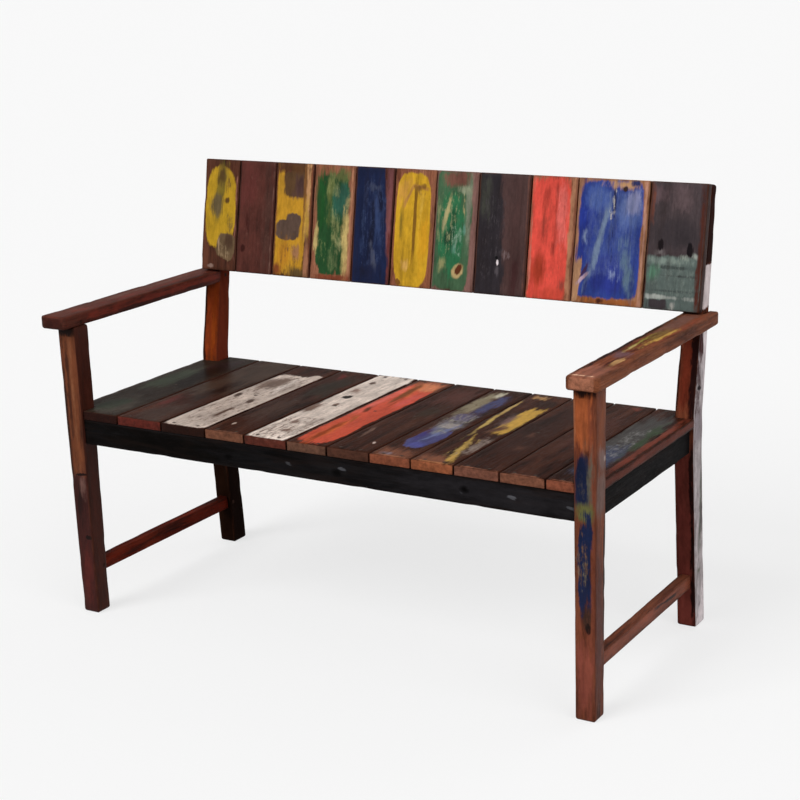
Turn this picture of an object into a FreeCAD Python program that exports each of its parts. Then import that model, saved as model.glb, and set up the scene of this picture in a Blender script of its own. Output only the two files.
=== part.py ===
import FreeCAD, Part
import math
import os

# Outdoor bench of reclaimed, painted hardwood: a pinned frame with two front legs, two bent
# rear posts, aprons and side stretchers, flat arms, a seat of boards that run from front to
# back, and a back of upright boards on two hidden rails.
# Millimetres. X runs along the bench, Y from front to back and Z up from the floor. Pieces are
# laid out from the front of the front legs' feet (y = 0) and moved as they are saved, so that
# the origin lies on the floor under the middle of the bench's box.

V = FreeCAD.Vector

# Overall sizes
length_over_legs = 1200.0
seat_depth = 512.0
seat_height = 450.0
arm_height = 655.0
back_height = 905.0

# Front legs, square in section: plumb on their two inner faces, tapered on the two outer ones
leg_top_width = 44.5
leg_foot_width = 39.5
leg_easing = 2.5
foot_easing = 3.5

# Rear posts: kicked back below the seat, upright at the seat, raked and thinned above it
post_width = 41.0
post_depth = 46.0
post_top_depth = 23.0
post_kick = 4.4
post_rake = 10.3
post_bend_radius = 150.0
post_bend_margin = 16.0
post_easing = 2.0

# Aprons under the seat
apron_height = 53.0
apron_thickness = 22.0
front_apron_setback = 3.7
side_apron_setback = 9.0
rear_apron_setback = 4.0

# Rail under the middle of the seat
middle_rail_height = 40.0
middle_rail_thickness = 30.0

# Side stretchers
stretcher_height = 29.5
stretcher_thickness = 21.0
stretcher_bottom = 86.0
stretcher_setback = 11.0

# Arms
arm_width = 63.0
arm_thickness = 27.0
arm_side_overhang = 22.0
arm_front_overhang = 37.0
arm_rear_overhang = 1.5
arm_front_radius = 9.0
arm_rear_radius = 8.0
arm_edge_radius = 5.0

# Seat boards, left to right; their widths are shared out over the bench's length
seat_board_widths = [130, 113, 110, 95, 101, 92, 95, 90, 91, 94, 92, 97]
seat_board_thickness = 19.0
seat_board_gap = 2.5
seat_front_setback = 1.5
seat_notch_clearance = 1.0

# Back boards, left to right; their widths are shared out in the same way
back_board_widths = [95, 99, 101, 106, 99, 101, 101, 121, 103, 155, 119]
back_board_thickness = 20.0
back_board_gap = 2.0
back_bottom_gap = 1.0

# Hidden rails behind the back boards; their height is a share of the boards' height
back_rail_share = 0.2
back_rail_thickness = 18.0
back_rail_inset = 14.0

# Eased edges of the sawn timber
rail_easing = 1.5
board_easing = 1.5

# Mortise and tenon joints
tenon_thickness = 12.0
tenon_shoulder = 7.0
tenon_outer_wall = 14.0
mortise_wall = 5.0
stretcher_tenon_thickness = 10.0
stretcher_tenon_shoulder = 4.5
stretcher_tenon_length = 20.0
back_tenon_thickness = 8.0
back_tenon_length = 20.0
leg_tenon_width = 22.0
leg_tenon_height = 17.0
joint_clearance = 0.15
glue_gap = 1.0

# Square wooden pins through the joints, driven from the inner faces and not through to the outer
pin_width = 7.5
pin_clearance = 0.1
pin_end_wall = 6.0
pin_stagger = 12.0

# Square nails: long ones through the seat boards, short ones through the back rails
nail_width = 3.2
nail_head_width = 6.5
nail_head_height = 1.5
nail_margin = 24.0
seat_nail_bite = 26.0
back_nail_bite = 12.0
fastener_clearance = 0.1

# Levels and faces that follow from these sizes
half_length = length_over_legs / 2
board_bottom = seat_height - seat_board_thickness
apron_bottom = board_bottom - apron_height
apron_middle = board_bottom - apron_height / 2
arm_bottom = arm_height - arm_thickness
arm_middle = arm_height - arm_thickness / 2
arm_outside = half_length + arm_side_overhang
arm_inside = arm_outside - arm_width
side_apron_middle = half_length - side_apron_setback - apron_thickness / 2
side_apron_inside = side_apron_middle - apron_thickness / 2
stretcher_line = half_length - stretcher_setback - stretcher_thickness / 2
stretcher_middle = stretcher_bottom + stretcher_height / 2
post_inside = half_length - post_width
post_middle = half_length - post_width / 2
leg_inside = half_length - leg_foot_width
leg_back = leg_foot_width
leg_top_middle = leg_inside + leg_top_width / 2
leg_top_depth = leg_back - leg_top_width / 2
front_apron_middle = front_apron_setback + apron_thickness / 2
rear_apron_middle = seat_depth - rear_apron_setback - apron_thickness / 2
middle_rail_middle = (front_apron_middle + rear_apron_middle) / 2

# Side outline of the rear posts
kick_slope = math.tan(math.radians(post_kick))
rake_slope = math.tan(math.radians(post_rake))
rake_sine = math.sin(math.radians(post_rake))
rake_cosine = math.cos(math.radians(post_rake))
post_front = seat_depth - post_depth
lower_bend = apron_bottom - post_bend_margin
upper_bend = seat_height + post_bend_margin
back_rise = (back_height - upper_bend - back_board_thickness * rake_sine) / rake_cosine
back_foot = (arm_height + back_bottom_gap - upper_bend) / rake_cosine
back_rail_height = (back_rise - back_foot) * back_rail_share
post_top = V(0, post_front, upper_bend) + V(0, rake_sine, rake_cosine) * back_rise
post_top_back = post_top + V(0, rake_cosine, -rake_sine) * post_top_depth

# The back's own frame: its origin is on the posts' front face at the upper bend, its Z axis
# runs up that face and its Y axis goes into the posts
back_frame = FreeCAD.Placement(V(0, post_front, upper_bend), FreeCAD.Rotation(V(1, 0, 0), -post_rake))

# The bench's origin in this layout
box_middle = V(0, (post_top_back.y - arm_front_overhang) / 2, 0)


def post_face(z):
    """Distance of the posts' front face behind the front of the legs' feet at the height z."""
    if z < lower_bend:
        return post_front + (lower_bend - z) * kick_slope
    return post_front + max(0.0, z - upper_bend) * rake_slope


def leg_width(z):
    """Width of a front leg at the height z."""
    return leg_foot_width + (leg_top_width - leg_foot_width) * z / arm_bottom


def about(middle, width):
    """Span of a width about its middle."""
    return middle - width / 2, middle + width / 2


def block(x, y, z):
    """Square block from its three spans."""
    return Part.makeBox(x[1] - x[0], y[1] - y[0], z[1] - z[0], V(x[0], y[0], z[0]))


def eased_block(x, y, z, easing):
    """Sawn timber from its three spans, with all its edges eased."""
    timber = block(x, y, z)
    return timber.makeChamfer(easing, timber.Edges)


def square_rod(start, direction, length, width):
    """Square rod from a point along a direction."""
    rod = block(about(0, width), about(0, width), (0, length))
    rod.Placement = FreeCAD.Placement(start, FreeCAD.Rotation(V(0, 0, 1), direction))
    return rod


def mirrored(shape):
    """The left-hand twin of a right-hand shape."""
    return shape.mirror(V(0, 0, 0), V(1, 0, 0))


def with_twin(shapes):
    """Right-hand shapes followed by their left-hand twins."""
    return shapes + [mirrored(shape) for shape in shapes]


def in_back_frame(shape):
    """A shape drawn in the back's frame, put in its place on the bench."""
    placed = shape.copy()
    placed.Placement = back_frame.multiply(placed.Placement)
    return placed


def rounded_outline(corners, radii):
    """Closed wire through the corners, each rounded by its radius, where 0 leaves it sharp."""
    count = len(corners)
    spans = []
    crowns = []
    for index, corner in enumerate(corners):
        before = (corners[index - 1] - corner).normalize()
        after = (corners[(index + 1) % count] - corner).normalize()
        inwards = (before + after).normalize()
        half_angle = before.getAngle(after) / 2
        setback = radii[index] / math.tan(half_angle)
        spans.append((corner + before * setback, corner + after * setback))
        crowns.append(corner + inwards * (radii[index] / math.sin(half_angle) - radii[index]))
    edges = []
    for index, (start, end) in enumerate(spans):
        if radii[index] > 0:
            edges.append(Part.Arc(start, crowns[index], end).toShape())
        edges.append(Part.LineSegment(end, spans[(index + 1) % count][0]).toShape())
    return Part.Wire(edges)


def tenon_joint(x, y, z, inwards):
    """A tenon and the mortise that takes it, which has room at its sides and more at its end."""
    spans = []
    for (low, high), way in zip((x, y, z), inwards):
        end_low = glue_gap if way < 0 else joint_clearance
        end_high = glue_gap if way > 0 else joint_clearance
        spans.append((low - end_low, high + end_high))
    return block(x, y, z), block(*spans)


def leg_section(width, inset, z):
    """Square section with eased corners, on the leg's inner and back faces."""
    right = leg_inside + width - inset
    left = leg_inside + inset
    front = leg_back - width + inset
    back = leg_back - inset
    corners = [
        V(left + leg_easing, front, z), V(right - leg_easing, front, z),
        V(right, front + leg_easing, z), V(right, back - leg_easing, z),
        V(right - leg_easing, back, z), V(left + leg_easing, back, z),
        V(left, back - leg_easing, z), V(left, front + leg_easing, z),
    ]
    return Part.makePolygon(corners + corners[:1])


def leg_blank():
    """Right front leg before its joints are cut: a taper with an eased foot."""
    sections = [
        leg_section(leg_foot_width, foot_easing, 0),
        leg_section(leg_width(foot_easing), 0, foot_easing),
        leg_section(leg_top_width, 0, arm_bottom),
    ]
    return Part.makeLoft(sections, True, True)


def post_blank():
    """Right rear post before its joints are cut: a bent side outline, as thick as the post."""
    foot = post_face(0)
    corners = [
        V(post_inside, foot, 0),
        V(post_inside, post_front, lower_bend),
        V(post_inside, post_front, upper_bend),
        V(post_inside, post_top.y, post_top.z),
        V(post_inside, post_top_back.y, post_top_back.z),
        V(post_inside, seat_depth, upper_bend),
        V(post_inside, seat_depth, lower_bend),
        V(post_inside, foot + post_depth, 0),
    ]
    bend = post_bend_radius
    outline = rounded_outline(corners, [0, bend, bend, 0, 0, bend, bend, 0])
    post = Part.Face(outline).extrude(V(post_width, 0, 0))
    across = [edge for edge in post.Edges if edge.BoundBox.XLength > post_width / 2]
    long_edges = [edge for edge in post.Edges if edge.BoundBox.XLength < post_width / 2]
    foot_edges = [edge for edge in across if edge.BoundBox.ZMax < post_easing]
    return post.makeChamfer(post_easing, long_edges + foot_edges)


leg = leg_blank()
post = post_blank()
uprights = with_twin([leg, post])
leg_cuts = []
post_cuts = []
pins = []
pieces = {}

rightwards = V(1, 0, 0)
backwards = V(0, 1, 0)
forwards = V(0, -1, 0)
upwards = V(0, 0, 1)


def add_pin(start, direction, length, blank):
    """Pin a right-hand joint and its twin, flush with the blank, and return the right-hand hole."""
    pin = square_rod(start, direction, length, pin_width).common(blank)
    pins.extend(with_twin([pin]))
    return square_rod(start, direction, length + pin_clearance, pin_width + pin_clearance * 2)


# Front apron, tenoned into the legs from the side
apron_levels = (apron_bottom, board_bottom)
apron_tenon_levels = (apron_bottom + tenon_shoulder, board_bottom - tenon_shoulder)
apron_leg_width = leg_width(apron_middle)
side_tenon_inside = side_apron_middle - tenon_thickness / 2
front_tenon, front_mortise = tenon_joint(
    (leg_inside - apron_thickness, half_length - tenon_outer_wall),
    about(front_apron_middle, tenon_thickness),
    apron_tenon_levels,
    rightwards,
)
front_pin_hole = add_pin(
    V((leg_inside + side_tenon_inside) / 2, leg_back, apron_middle + pin_stagger),
    forwards, apron_leg_width - pin_end_wall, leg,
)
front_apron = eased_block(
    (-leg_top_middle, leg_top_middle), about(front_apron_middle, apron_thickness), apron_levels, rail_easing,
).cut(uprights)
front_apron = front_apron.fuse(with_twin([front_tenon])).cut(with_twin([front_pin_hole]))
leg_cuts += [front_mortise, front_pin_hole]

# Rear apron, tenoned into the posts from the side
rear_tenon, rear_mortise = tenon_joint(
    (post_inside - apron_thickness, half_length - tenon_outer_wall),
    about(rear_apron_middle, tenon_thickness),
    apron_tenon_levels,
    rightwards,
)
rear_pin_hole = add_pin(
    V((post_inside + side_tenon_inside) / 2, seat_depth, apron_middle + pin_stagger),
    forwards, rear_apron_setback + apron_thickness, post,
)
rear_apron = eased_block(
    (-post_middle, post_middle), about(rear_apron_middle, apron_thickness), apron_levels, rail_easing,
).cut(uprights)
rear_apron = rear_apron.fuse(with_twin([rear_tenon])).cut(with_twin([rear_pin_hole]))
post_cuts += [rear_mortise, rear_pin_hole]

# Side aprons: their tenons stop short of those of the front and rear aprons
side_tenon_front = front_apron_middle + tenon_thickness / 2 + mortise_wall
side_tenon_back = rear_apron_middle - tenon_thickness / 2 - mortise_wall
side_front_tenon, side_front_mortise = tenon_joint(
    about(side_apron_middle, tenon_thickness),
    (side_tenon_front, leg_back + apron_thickness),
    apron_tenon_levels,
    forwards,
)
side_back_tenon, side_back_mortise = tenon_joint(
    about(side_apron_middle, tenon_thickness),
    (post_front - apron_thickness, side_tenon_back),
    apron_tenon_levels,
    backwards,
)
side_front_pin_hole = add_pin(
    V(leg_inside, (side_tenon_front + leg_back) / 2, apron_middle - pin_stagger),
    rightwards, apron_leg_width - pin_end_wall, leg,
)
side_back_pin_hole = add_pin(
    V(post_inside, (side_tenon_back + post_front) / 2, apron_middle - pin_stagger),
    rightwards, post_width - pin_end_wall, post,
)
side_apron = eased_block(
    about(side_apron_middle, apron_thickness),
    (leg_back / 2, post_front + post_depth / 2),
    apron_levels,
    rail_easing,
).cut(uprights)
side_apron = side_apron.fuse([side_front_tenon, side_back_tenon])
side_apron = side_apron.cut([side_front_pin_hole, side_back_pin_hole])
leg_cuts += [side_front_mortise, side_front_pin_hole]
post_cuts += [side_back_mortise, side_back_pin_hole]

# Middle rail, with stub tenons in the side aprons
middle_rail_bottom = board_bottom - middle_rail_height
middle_tenon, middle_mortise = tenon_joint(
    (side_apron_inside - apron_thickness, side_apron_middle),
    about(middle_rail_middle, tenon_thickness),
    (middle_rail_bottom + tenon_shoulder, board_bottom - tenon_shoulder),
    rightwards,
)
middle_rail = eased_block(
    (-side_apron_inside, side_apron_inside),
    about(middle_rail_middle, middle_rail_thickness),
    (middle_rail_bottom, board_bottom),
    rail_easing,
)
middle_rail = middle_rail.fuse(with_twin([middle_tenon]))
side_apron = side_apron.cut(middle_mortise)

# Side stretchers
stretcher_leg_width = leg_width(stretcher_middle)
stretcher_post_face = post_face(stretcher_middle)
stretcher_tenon_front = leg_back - stretcher_tenon_length
stretcher_tenon_back = stretcher_post_face + stretcher_tenon_length
stretcher_tenon_levels = about(stretcher_middle, stretcher_height - stretcher_tenon_shoulder * 2)
stretcher_front_tenon, stretcher_front_mortise = tenon_joint(
    about(stretcher_line, stretcher_tenon_thickness),
    (stretcher_tenon_front, leg_back + stretcher_thickness),
    stretcher_tenon_levels,
    forwards,
)
stretcher_back_tenon, stretcher_back_mortise = tenon_joint(
    about(stretcher_line, stretcher_tenon_thickness),
    (stretcher_post_face - stretcher_thickness, stretcher_tenon_back),
    stretcher_tenon_levels,
    backwards,
)
stretcher_front_pin_hole = add_pin(
    V(leg_inside, (stretcher_tenon_front + leg_back) / 2, stretcher_middle),
    rightwards, stretcher_leg_width - pin_end_wall, leg,
)
stretcher_back_pin_hole = add_pin(
    V(post_inside, (stretcher_tenon_back + stretcher_post_face) / 2, stretcher_middle),
    rightwards, post_width - pin_end_wall, post,
)
stretcher = eased_block(
    about(stretcher_line, stretcher_thickness),
    (leg_back / 2, stretcher_post_face + post_depth / 2),
    about(stretcher_middle, stretcher_height),
    rail_easing,
).cut(uprights)
stretcher = stretcher.fuse([stretcher_front_tenon, stretcher_back_tenon])
stretcher = stretcher.cut([stretcher_front_pin_hole, stretcher_back_pin_hole])
leg_cuts += [stretcher_front_mortise, stretcher_front_pin_hole]
post_cuts += [stretcher_back_mortise, stretcher_back_pin_hole]

# Arms: planks with rounded ends that end just past the posts' back face
thinning = (post_depth - post_top_depth) / (post_top.z - upper_bend)
arm_back = post_face(arm_middle) + post_depth - thinning * (arm_middle - upper_bend) + arm_rear_overhang
arm_outline = rounded_outline(
    [
        V(arm_inside, -arm_front_overhang, arm_bottom), V(arm_outside, -arm_front_overhang, arm_bottom),
        V(arm_outside, arm_back, arm_bottom), V(arm_inside, arm_back, arm_bottom),
    ],
    [arm_front_radius, arm_front_radius, arm_rear_radius, 0],
)
arm_plank = Part.Face(arm_outline).extrude(V(0, 0, arm_thickness))
flat_edges = [edge for edge in arm_plank.Edges if edge.BoundBox.ZLength < arm_edge_radius]
arm_plank = arm_plank.makeFillet(arm_edge_radius, flat_edges)

# The arms are notched round the posts and sit on tenons of the legs
notch_left = arm_inside - arm_width
notch_low = arm_bottom - arm_thickness
notch_high = arm_height + arm_thickness
notch_back = arm_back + post_depth
notch_side = Part.makePolygon([
    V(notch_left, post_face(notch_low), notch_low), V(notch_left, post_face(notch_high), notch_high),
    V(notch_left, notch_back, notch_high), V(notch_left, notch_back, notch_low),
    V(notch_left, post_face(notch_low), notch_low),
])
arm_notch = Part.Face(notch_side).extrude(V(half_length - notch_left, 0, 0))
leg_tenon, leg_tenon_mortise = tenon_joint(
    about(leg_top_middle, leg_tenon_width),
    about(leg_top_depth, leg_tenon_width),
    about(arm_bottom, leg_tenon_height * 2),
    upwards,
)
arm_front_pin_hole = add_pin(
    V(arm_inside, leg_top_depth, arm_bottom + leg_tenon_height / 2),
    rightwards, half_length - arm_inside - pin_end_wall, arm_plank,
)
arm_back_pin_hole = add_pin(
    V(post_inside, (post_face(arm_middle) + arm_back) / 2, arm_middle),
    rightwards, arm_outside - post_inside - pin_end_wall, post.fuse(arm_plank),
)
arm = arm_plank.cut([arm_notch, leg_tenon_mortise, arm_front_pin_hole, arm_back_pin_hole])
leg_cuts.append(arm_front_pin_hole)
post_cuts.append(arm_back_pin_hole)

# Rails of the back, flush with the posts' front face and tenoned into the posts
back_rails = {}
rail_feet = {
    "back_bottom_rail": back_foot + back_rail_inset,
    "back_top_rail": back_rise - back_rail_inset - back_rail_height,
}
for name, rail_foot in rail_feet.items():
    rail_head = rail_foot + back_rail_height
    tenon, mortise = tenon_joint(
        (post_inside - back_rail_thickness, post_inside + back_tenon_length),
        about(back_rail_thickness / 2, back_tenon_thickness),
        (rail_foot + tenon_shoulder, rail_head - tenon_shoulder),
        rightwards,
    )
    rail = eased_block(
        (-post_inside, post_inside), (0, back_rail_thickness), (rail_foot, rail_head), rail_easing)
    back_rails[name] = in_back_frame(rail.fuse(with_twin([tenon])))
    post_cuts.append(in_back_frame(mortise))


def board_spans(widths, gap):
    """Spans of boards that fill the bench's length in the ratio of their widths, gaps between them."""
    scale = length_over_legs / sum(widths)
    edges = [-half_length]
    for width in widths:
        edges.append(edges[-1] + width * scale)
    lefts = edges[:1] + [edge + gap / 2 for edge in edges[1:-1]]
    rights = [edge - gap / 2 for edge in edges[1:-1]] + edges[-1:]
    return list(zip(lefts, rights))


def square_nail(length, slack):
    """Square nail that hangs from the origin by its flat head; slack makes it the hole for one."""
    head = about(0, nail_head_width + slack * 2)
    shank = about(0, nail_width + slack * 2)
    return block(head, head, (-nail_head_height - slack, slack)).fuse(
        block(shank, shank, (-length - slack, slack)))


def nail_places(left, right):
    """One nail near each edge of a board, or one in the middle where it has little room."""
    if right - left < nail_margin * 3:
        return [(left + right) / 2]
    return [left + nail_margin, right - nail_margin]


# Seat boards, the two end ones notched round the legs and posts, nailed to aprons and rail
notch_levels = (apron_bottom, arm_bottom)
leg_notch = block(
    (leg_inside - seat_notch_clearance, arm_outside),
    (-arm_front_overhang, leg_back + seat_notch_clearance),
    notch_levels,
)
post_notch = block(
    (post_inside - seat_notch_clearance, arm_outside),
    (post_front - seat_notch_clearance, seat_depth + post_depth),
    notch_levels,
)
seat_notches = with_twin([leg_notch, post_notch])
seat_clear = min(leg_inside, post_inside) - seat_notch_clearance
seat_nail_length = seat_board_thickness + seat_nail_bite
seat_nails = []
seat_nail_holes = []
for number, (left, right) in enumerate(board_spans(seat_board_widths, seat_board_gap), start=1):
    board = eased_block(
        (left, right), (seat_front_setback, seat_depth), (board_bottom, seat_height), board_easing)
    pair = nail_places(max(left, -seat_clear), min(right, seat_clear))
    places = [V(x, y, seat_height) for y in (front_apron_middle, rear_apron_middle) for x in pair]
    places.append(V(sum(pair) / len(pair), middle_rail_middle, seat_height))
    holes = [square_nail(seat_nail_length, fastener_clearance).translated(place) for place in places]
    seat_nails += [square_nail(seat_nail_length, 0).translated(place) for place in places]
    seat_nail_holes += holes
    pieces["seat_board_%02d" % number] = board.cut(seat_notches + holes)
front_apron = front_apron.cut(seat_nail_holes)
rear_apron = rear_apron.cut(seat_nail_holes)
middle_rail = middle_rail.cut(seat_nail_holes)


def back_nail(place, slack):
    """Square nail driven forwards through a back rail into a board, in the back's frame."""
    nail = square_nail(back_rail_thickness + back_nail_bite, slack)
    nail.rotate(V(0, 0, 0), rightwards, -90)
    return nail.translated(place)


# Back boards, nailed on from behind through the rails
back_nails = []
back_nail_holes = []
for number, (left, right) in enumerate(board_spans(back_board_widths, back_board_gap), start=1):
    board = eased_block((left, right), (-back_board_thickness, 0), (back_foot, back_rise), board_easing)
    middle = (max(left, -post_inside) + min(right, post_inside)) / 2
    places = [V(middle, back_rail_thickness, foot + back_rail_height / 2) for foot in rail_feet.values()]
    holes = [back_nail(place, fastener_clearance) for place in places]
    back_nails += [in_back_frame(back_nail(place, 0)) for place in places]
    back_nail_holes += [in_back_frame(hole) for hole in holes]
    pieces["back_board_%02d" % number] = in_back_frame(board.cut(holes))
for name, rail in back_rails.items():
    pieces[name] = rail.cut(back_nail_holes)

# The frame's pieces with their joints cut
right_hand = {
    "front_leg": leg.fuse(leg_tenon).cut(leg_cuts),
    "rear_post": post.cut(post_cuts),
    "side_apron": side_apron,
    "stretcher": stretcher,
    "armrest": arm,
}
for name, shape in right_hand.items():
    pieces[name + "_right"] = shape
    pieces[name + "_left"] = mirrored(shape)
pieces["front_apron"] = front_apron
pieces["rear_apron"] = rear_apron
pieces["seat_middle_rail"] = middle_rail
pieces["frame_pins"] = Part.makeCompound(pins)
pieces["seat_nails"] = Part.makeCompound(seat_nails)
pieces["back_nails"] = Part.makeCompound(back_nails)

os.makedirs("parts", exist_ok=True)
for name, shape in sorted(pieces.items()):
    shape = shape.removeSplitter()
    shape.translate(box_middle * -1)
    shape.exportStep("parts/%s.step" % name)
    print(name, len(shape.Solids), "solids,", round(shape.Volume / 1000, 1), "cm3, valid", shape.isValid())
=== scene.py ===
# %% [markdown]
# # A bench of old painted boards
# The bench is made of timber from broken-up boats. Every board still carries the paint of its
# earlier life, rubbed through to red-brown wood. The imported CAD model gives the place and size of
# each piece, so this script only has to give each one its worn surface. All lengths are in metres.

# %% Load the frame
import itertools
import math

import bpy
import numpy as np
from mathutils import Matrix, Vector


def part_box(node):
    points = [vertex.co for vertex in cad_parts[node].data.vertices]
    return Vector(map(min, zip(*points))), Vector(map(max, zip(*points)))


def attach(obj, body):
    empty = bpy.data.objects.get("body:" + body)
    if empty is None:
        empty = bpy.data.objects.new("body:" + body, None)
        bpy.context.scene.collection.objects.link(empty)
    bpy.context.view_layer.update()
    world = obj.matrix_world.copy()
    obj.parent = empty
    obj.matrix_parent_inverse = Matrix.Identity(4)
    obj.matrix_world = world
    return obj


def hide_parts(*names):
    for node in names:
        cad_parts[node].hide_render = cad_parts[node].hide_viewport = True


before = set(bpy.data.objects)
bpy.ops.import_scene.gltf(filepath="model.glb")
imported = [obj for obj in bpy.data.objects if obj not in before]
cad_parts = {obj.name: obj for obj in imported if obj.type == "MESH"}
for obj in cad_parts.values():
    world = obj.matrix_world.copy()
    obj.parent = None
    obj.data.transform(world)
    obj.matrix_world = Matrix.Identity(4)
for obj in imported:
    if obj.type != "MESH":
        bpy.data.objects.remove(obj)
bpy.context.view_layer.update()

scene = bpy.context.scene
scene.view_settings.view_transform = "Standard"

# %% [markdown]
# ## Camera
# The photograph was taken from the right of the bench and half a metre above the top of its back. A
# Track To constraint could aim the camera, but it can't give the small roll that the picture has. A
# camera's matrix has its right, up and backward directions as columns, so they are worked out from
# the azimuth, the elevation and the roll. A long lens keeps the legs nearly parallel.

# %% Camera
CAMERA_PLACE = (1.7951, -2.8851, 1.4015)
AZIMUTH, ELEVATION, ROLL = 31.18, 15.33, -1.79


def add(name, data):
    """A new object in the scene."""
    made = bpy.data.objects.new(name, data)
    scene.collection.objects.link(made)
    return made


def view_axes(azimuth, elevation, roll):
    """Right, up and backward directions of a camera with this azimuth, elevation and roll, in degrees."""
    a, e, r = (math.radians(angle) for angle in (azimuth, elevation, roll))
    back = Vector((math.sin(a) * math.cos(e), -math.cos(a) * math.cos(e), math.sin(e)))
    right = Vector((math.cos(a), math.sin(a), 0))
    up = back.cross(right)
    return right * math.cos(r) + up * math.sin(r), up * math.cos(r) - right * math.sin(r), back


camera = scene.camera = add("camera", bpy.data.cameras.new("camera"))
camera.data.sensor_width = 36
camera.data.lens = 77.95
turned = Matrix(view_axes(AZIMUTH, ELEVATION, ROLL)).transposed().to_4x4()
camera.matrix_world = Matrix.Translation(CAMERA_PLACE) @ turned
print("camera at", tuple(camera.location))

# %% [markdown]
# ## Writing node trees
# A material is a tree of nodes joined by wires. Adding each node and wire by hand makes long code,
# so a few helpers write the arithmetic in short steps. They add to the tree that was started last,
# as the node editor adds to the tree that is open.

# %% Helpers for node trees
def put(kind, inputs=None, **settings):
    """Adds a node, and fills each named or numbered input with a value or with a link."""
    node = tree.nodes.new("ShaderNode" + kind)
    for key, value in settings.items():
        setattr(node, key, value)
    for key, value in (inputs or {}).items():
        if isinstance(value, bpy.types.NodeSocket):
            link(value, node.inputs[key])
        else:
            node.inputs[key].default_value = value
    return node


def link(source, target):
    """Joins an output to an input."""
    tree.links.new(source, target)


def arithmetic(operation, kind="Math"):
    """A function that puts in one step of arithmetic, on numbers or on vectors."""
    return lambda *values: put(kind, dict(enumerate(values)), operation=operation).outputs[0]


times, plus, minus, over, power, sine, lesser, greater, times_plus = map(arithmetic, (
    "MULTIPLY", "ADD", "SUBTRACT", "DIVIDE", "POWER", "SINE", "MINIMUM", "MAXIMUM", "MULTIPLY_ADD"))
v_times, v_plus, v_minus, v_over, v_size = (arithmetic(operation, "VectorMath") for operation in (
    "MULTIPLY", "ADD", "SUBTRACT", "DIVIDE", "ABSOLUTE"))


def ramp(value, low, high, start=0.0, end=1.0):
    """A smooth step: start below low, end above high, and 3t2 - 2t3 between."""
    inputs = {0: value, 1: low, 2: high, 3: start, 4: end}
    return put("MapRange", inputs, interpolation_type="SMOOTHSTEP").outputs[0]


def mix(factor, lower, upper):
    """Two colours blended by a factor."""
    return put("Mix", {0: factor, 6: lower, 7: upper}, data_type="RGBA").outputs[2]


def noise(vector, scale, detail=3.0, rough=0.5, distort=0.0):
    """Fractal noise from 0 to 1 at a vector."""
    inputs = {"Vector": vector, "Scale": scale, "Detail": detail, "Roughness": rough, "Distortion": distort}
    return put("TexNoise", inputs).outputs[0]


def combine(*values):
    """A vector from up to three values."""
    return put("CombineXYZ", dict(enumerate(values))).outputs[0]


def shade(red, green, blue):
    """A colour as it looks on a screen, from 0 to 255, made linear for the shader."""
    return tuple((c / 255 / 12.92) if c < 10.3 else ((c / 255 + 0.055) / 1.055) ** 2.4
                 for c in (red, green, blue)) + (1.0,)


def new_material(name):
    """Starts the tree of a new material; gives the material and its shader's inputs."""
    global tree
    material = bpy.data.materials.new(name)
    material.use_nodes = True
    tree = material.node_tree
    return material, tree.nodes["Principled BSDF"].inputs


def new_group(name, inputs, outputs):
    """Starts the tree of a new group. Its sockets are numbers unless marked; gives their ends inside it."""
    global tree
    tree = bpy.data.node_groups.new(name, "ShaderNodeTree")
    for sockets, way in ((inputs, "INPUT"), (outputs, "OUTPUT")):
        for label, _, kind in (socket.partition(":") for socket in sockets.split()):
            tree.interface.new_socket(label, in_out=way, socket_type="NodeSocket" + (kind or "Float"))
    print("group", name, "puts out", outputs)
    return tree.nodes.new("NodeGroupInput").outputs, tree.nodes.new("NodeGroupOutput").inputs


def use(group, inputs):
    """Places a group in the tree and gives its outputs."""
    return put("Group", inputs, node_tree=bpy.data.node_groups[group]).outputs


def pick(outputs, labels):
    """Some of a group's outputs by name, ready to be another group's inputs."""
    return {label: outputs[label] for label in labels.split()}


print("middle grey is", round(shade(119, 119, 119)[0], 3))

# %% [markdown]
# ## Light and floor
# A studio lights furniture with large soft lamps, so that old paint shows without hard shadows. Sun
# lamps with a wide angle do the same and light the whole floor evenly: the strongest stands in
# front, to the left and above, a weaker one fills the right and a faint one the back. The camera
# sees the floor mostly as plain paper, so it stays pale and still keeps a soft shadow. The paper is
# wide and turns up far away, so that it fills the picture from any side.

# %% Light and floor
def soft_lamp(name, toward, strength, angle):
    """A sun lamp that shines from a direction, with a disc as wide as an angle in degrees."""
    lamp = bpy.data.lights.new(name, "SUN")
    lamp.energy = strength
    lamp.angle = math.radians(angle)
    add(name, lamp).rotation_euler = Vector(toward).to_track_quat("Z", "Y").to_euler()


soft_lamp("key_lamp", (-0.3, -0.75, 0.62), 2.1, 35)
soft_lamp("side_lamp", (0.85, -0.35, 0.45), 1.3, 50)
soft_lamp("back_lamp", (0.4, 0.8, 0.5), 0.45, 50)

world = bpy.data.worlds.new("studio")
world.use_nodes = True
scene.world = world
sky = world.node_tree.nodes["Background"].inputs
sky["Color"].default_value = (1, 1, 1, 1)
sky["Strength"].default_value = 0.35


def studio_paper(name, glow, share):
    """White paper: the camera and mirrors see a share of even glow in matt white, other light sees grey."""
    material, _ = new_material(name)
    tree.nodes.clear()
    path = put("LightPath").outputs
    seen = greater(greater(path["Is Camera Ray"], path["Is Glossy Ray"]), path["Is Transmission Ray"])
    grey, white, even = (put(kind, {"Color": (level, level, level, 1)}).outputs[0] for kind, level in (
        ("BsdfDiffuse", 0.3), ("BsdfDiffuse", 0.9), ("Emission", glow)))
    paper = put("MixShader", {0: share, 1: white, 2: even}).outputs[0]
    put("OutputMaterial", {0: put("MixShader", {0: seen, 1: grey, 2: paper}).outputs[0]})
    return material


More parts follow.
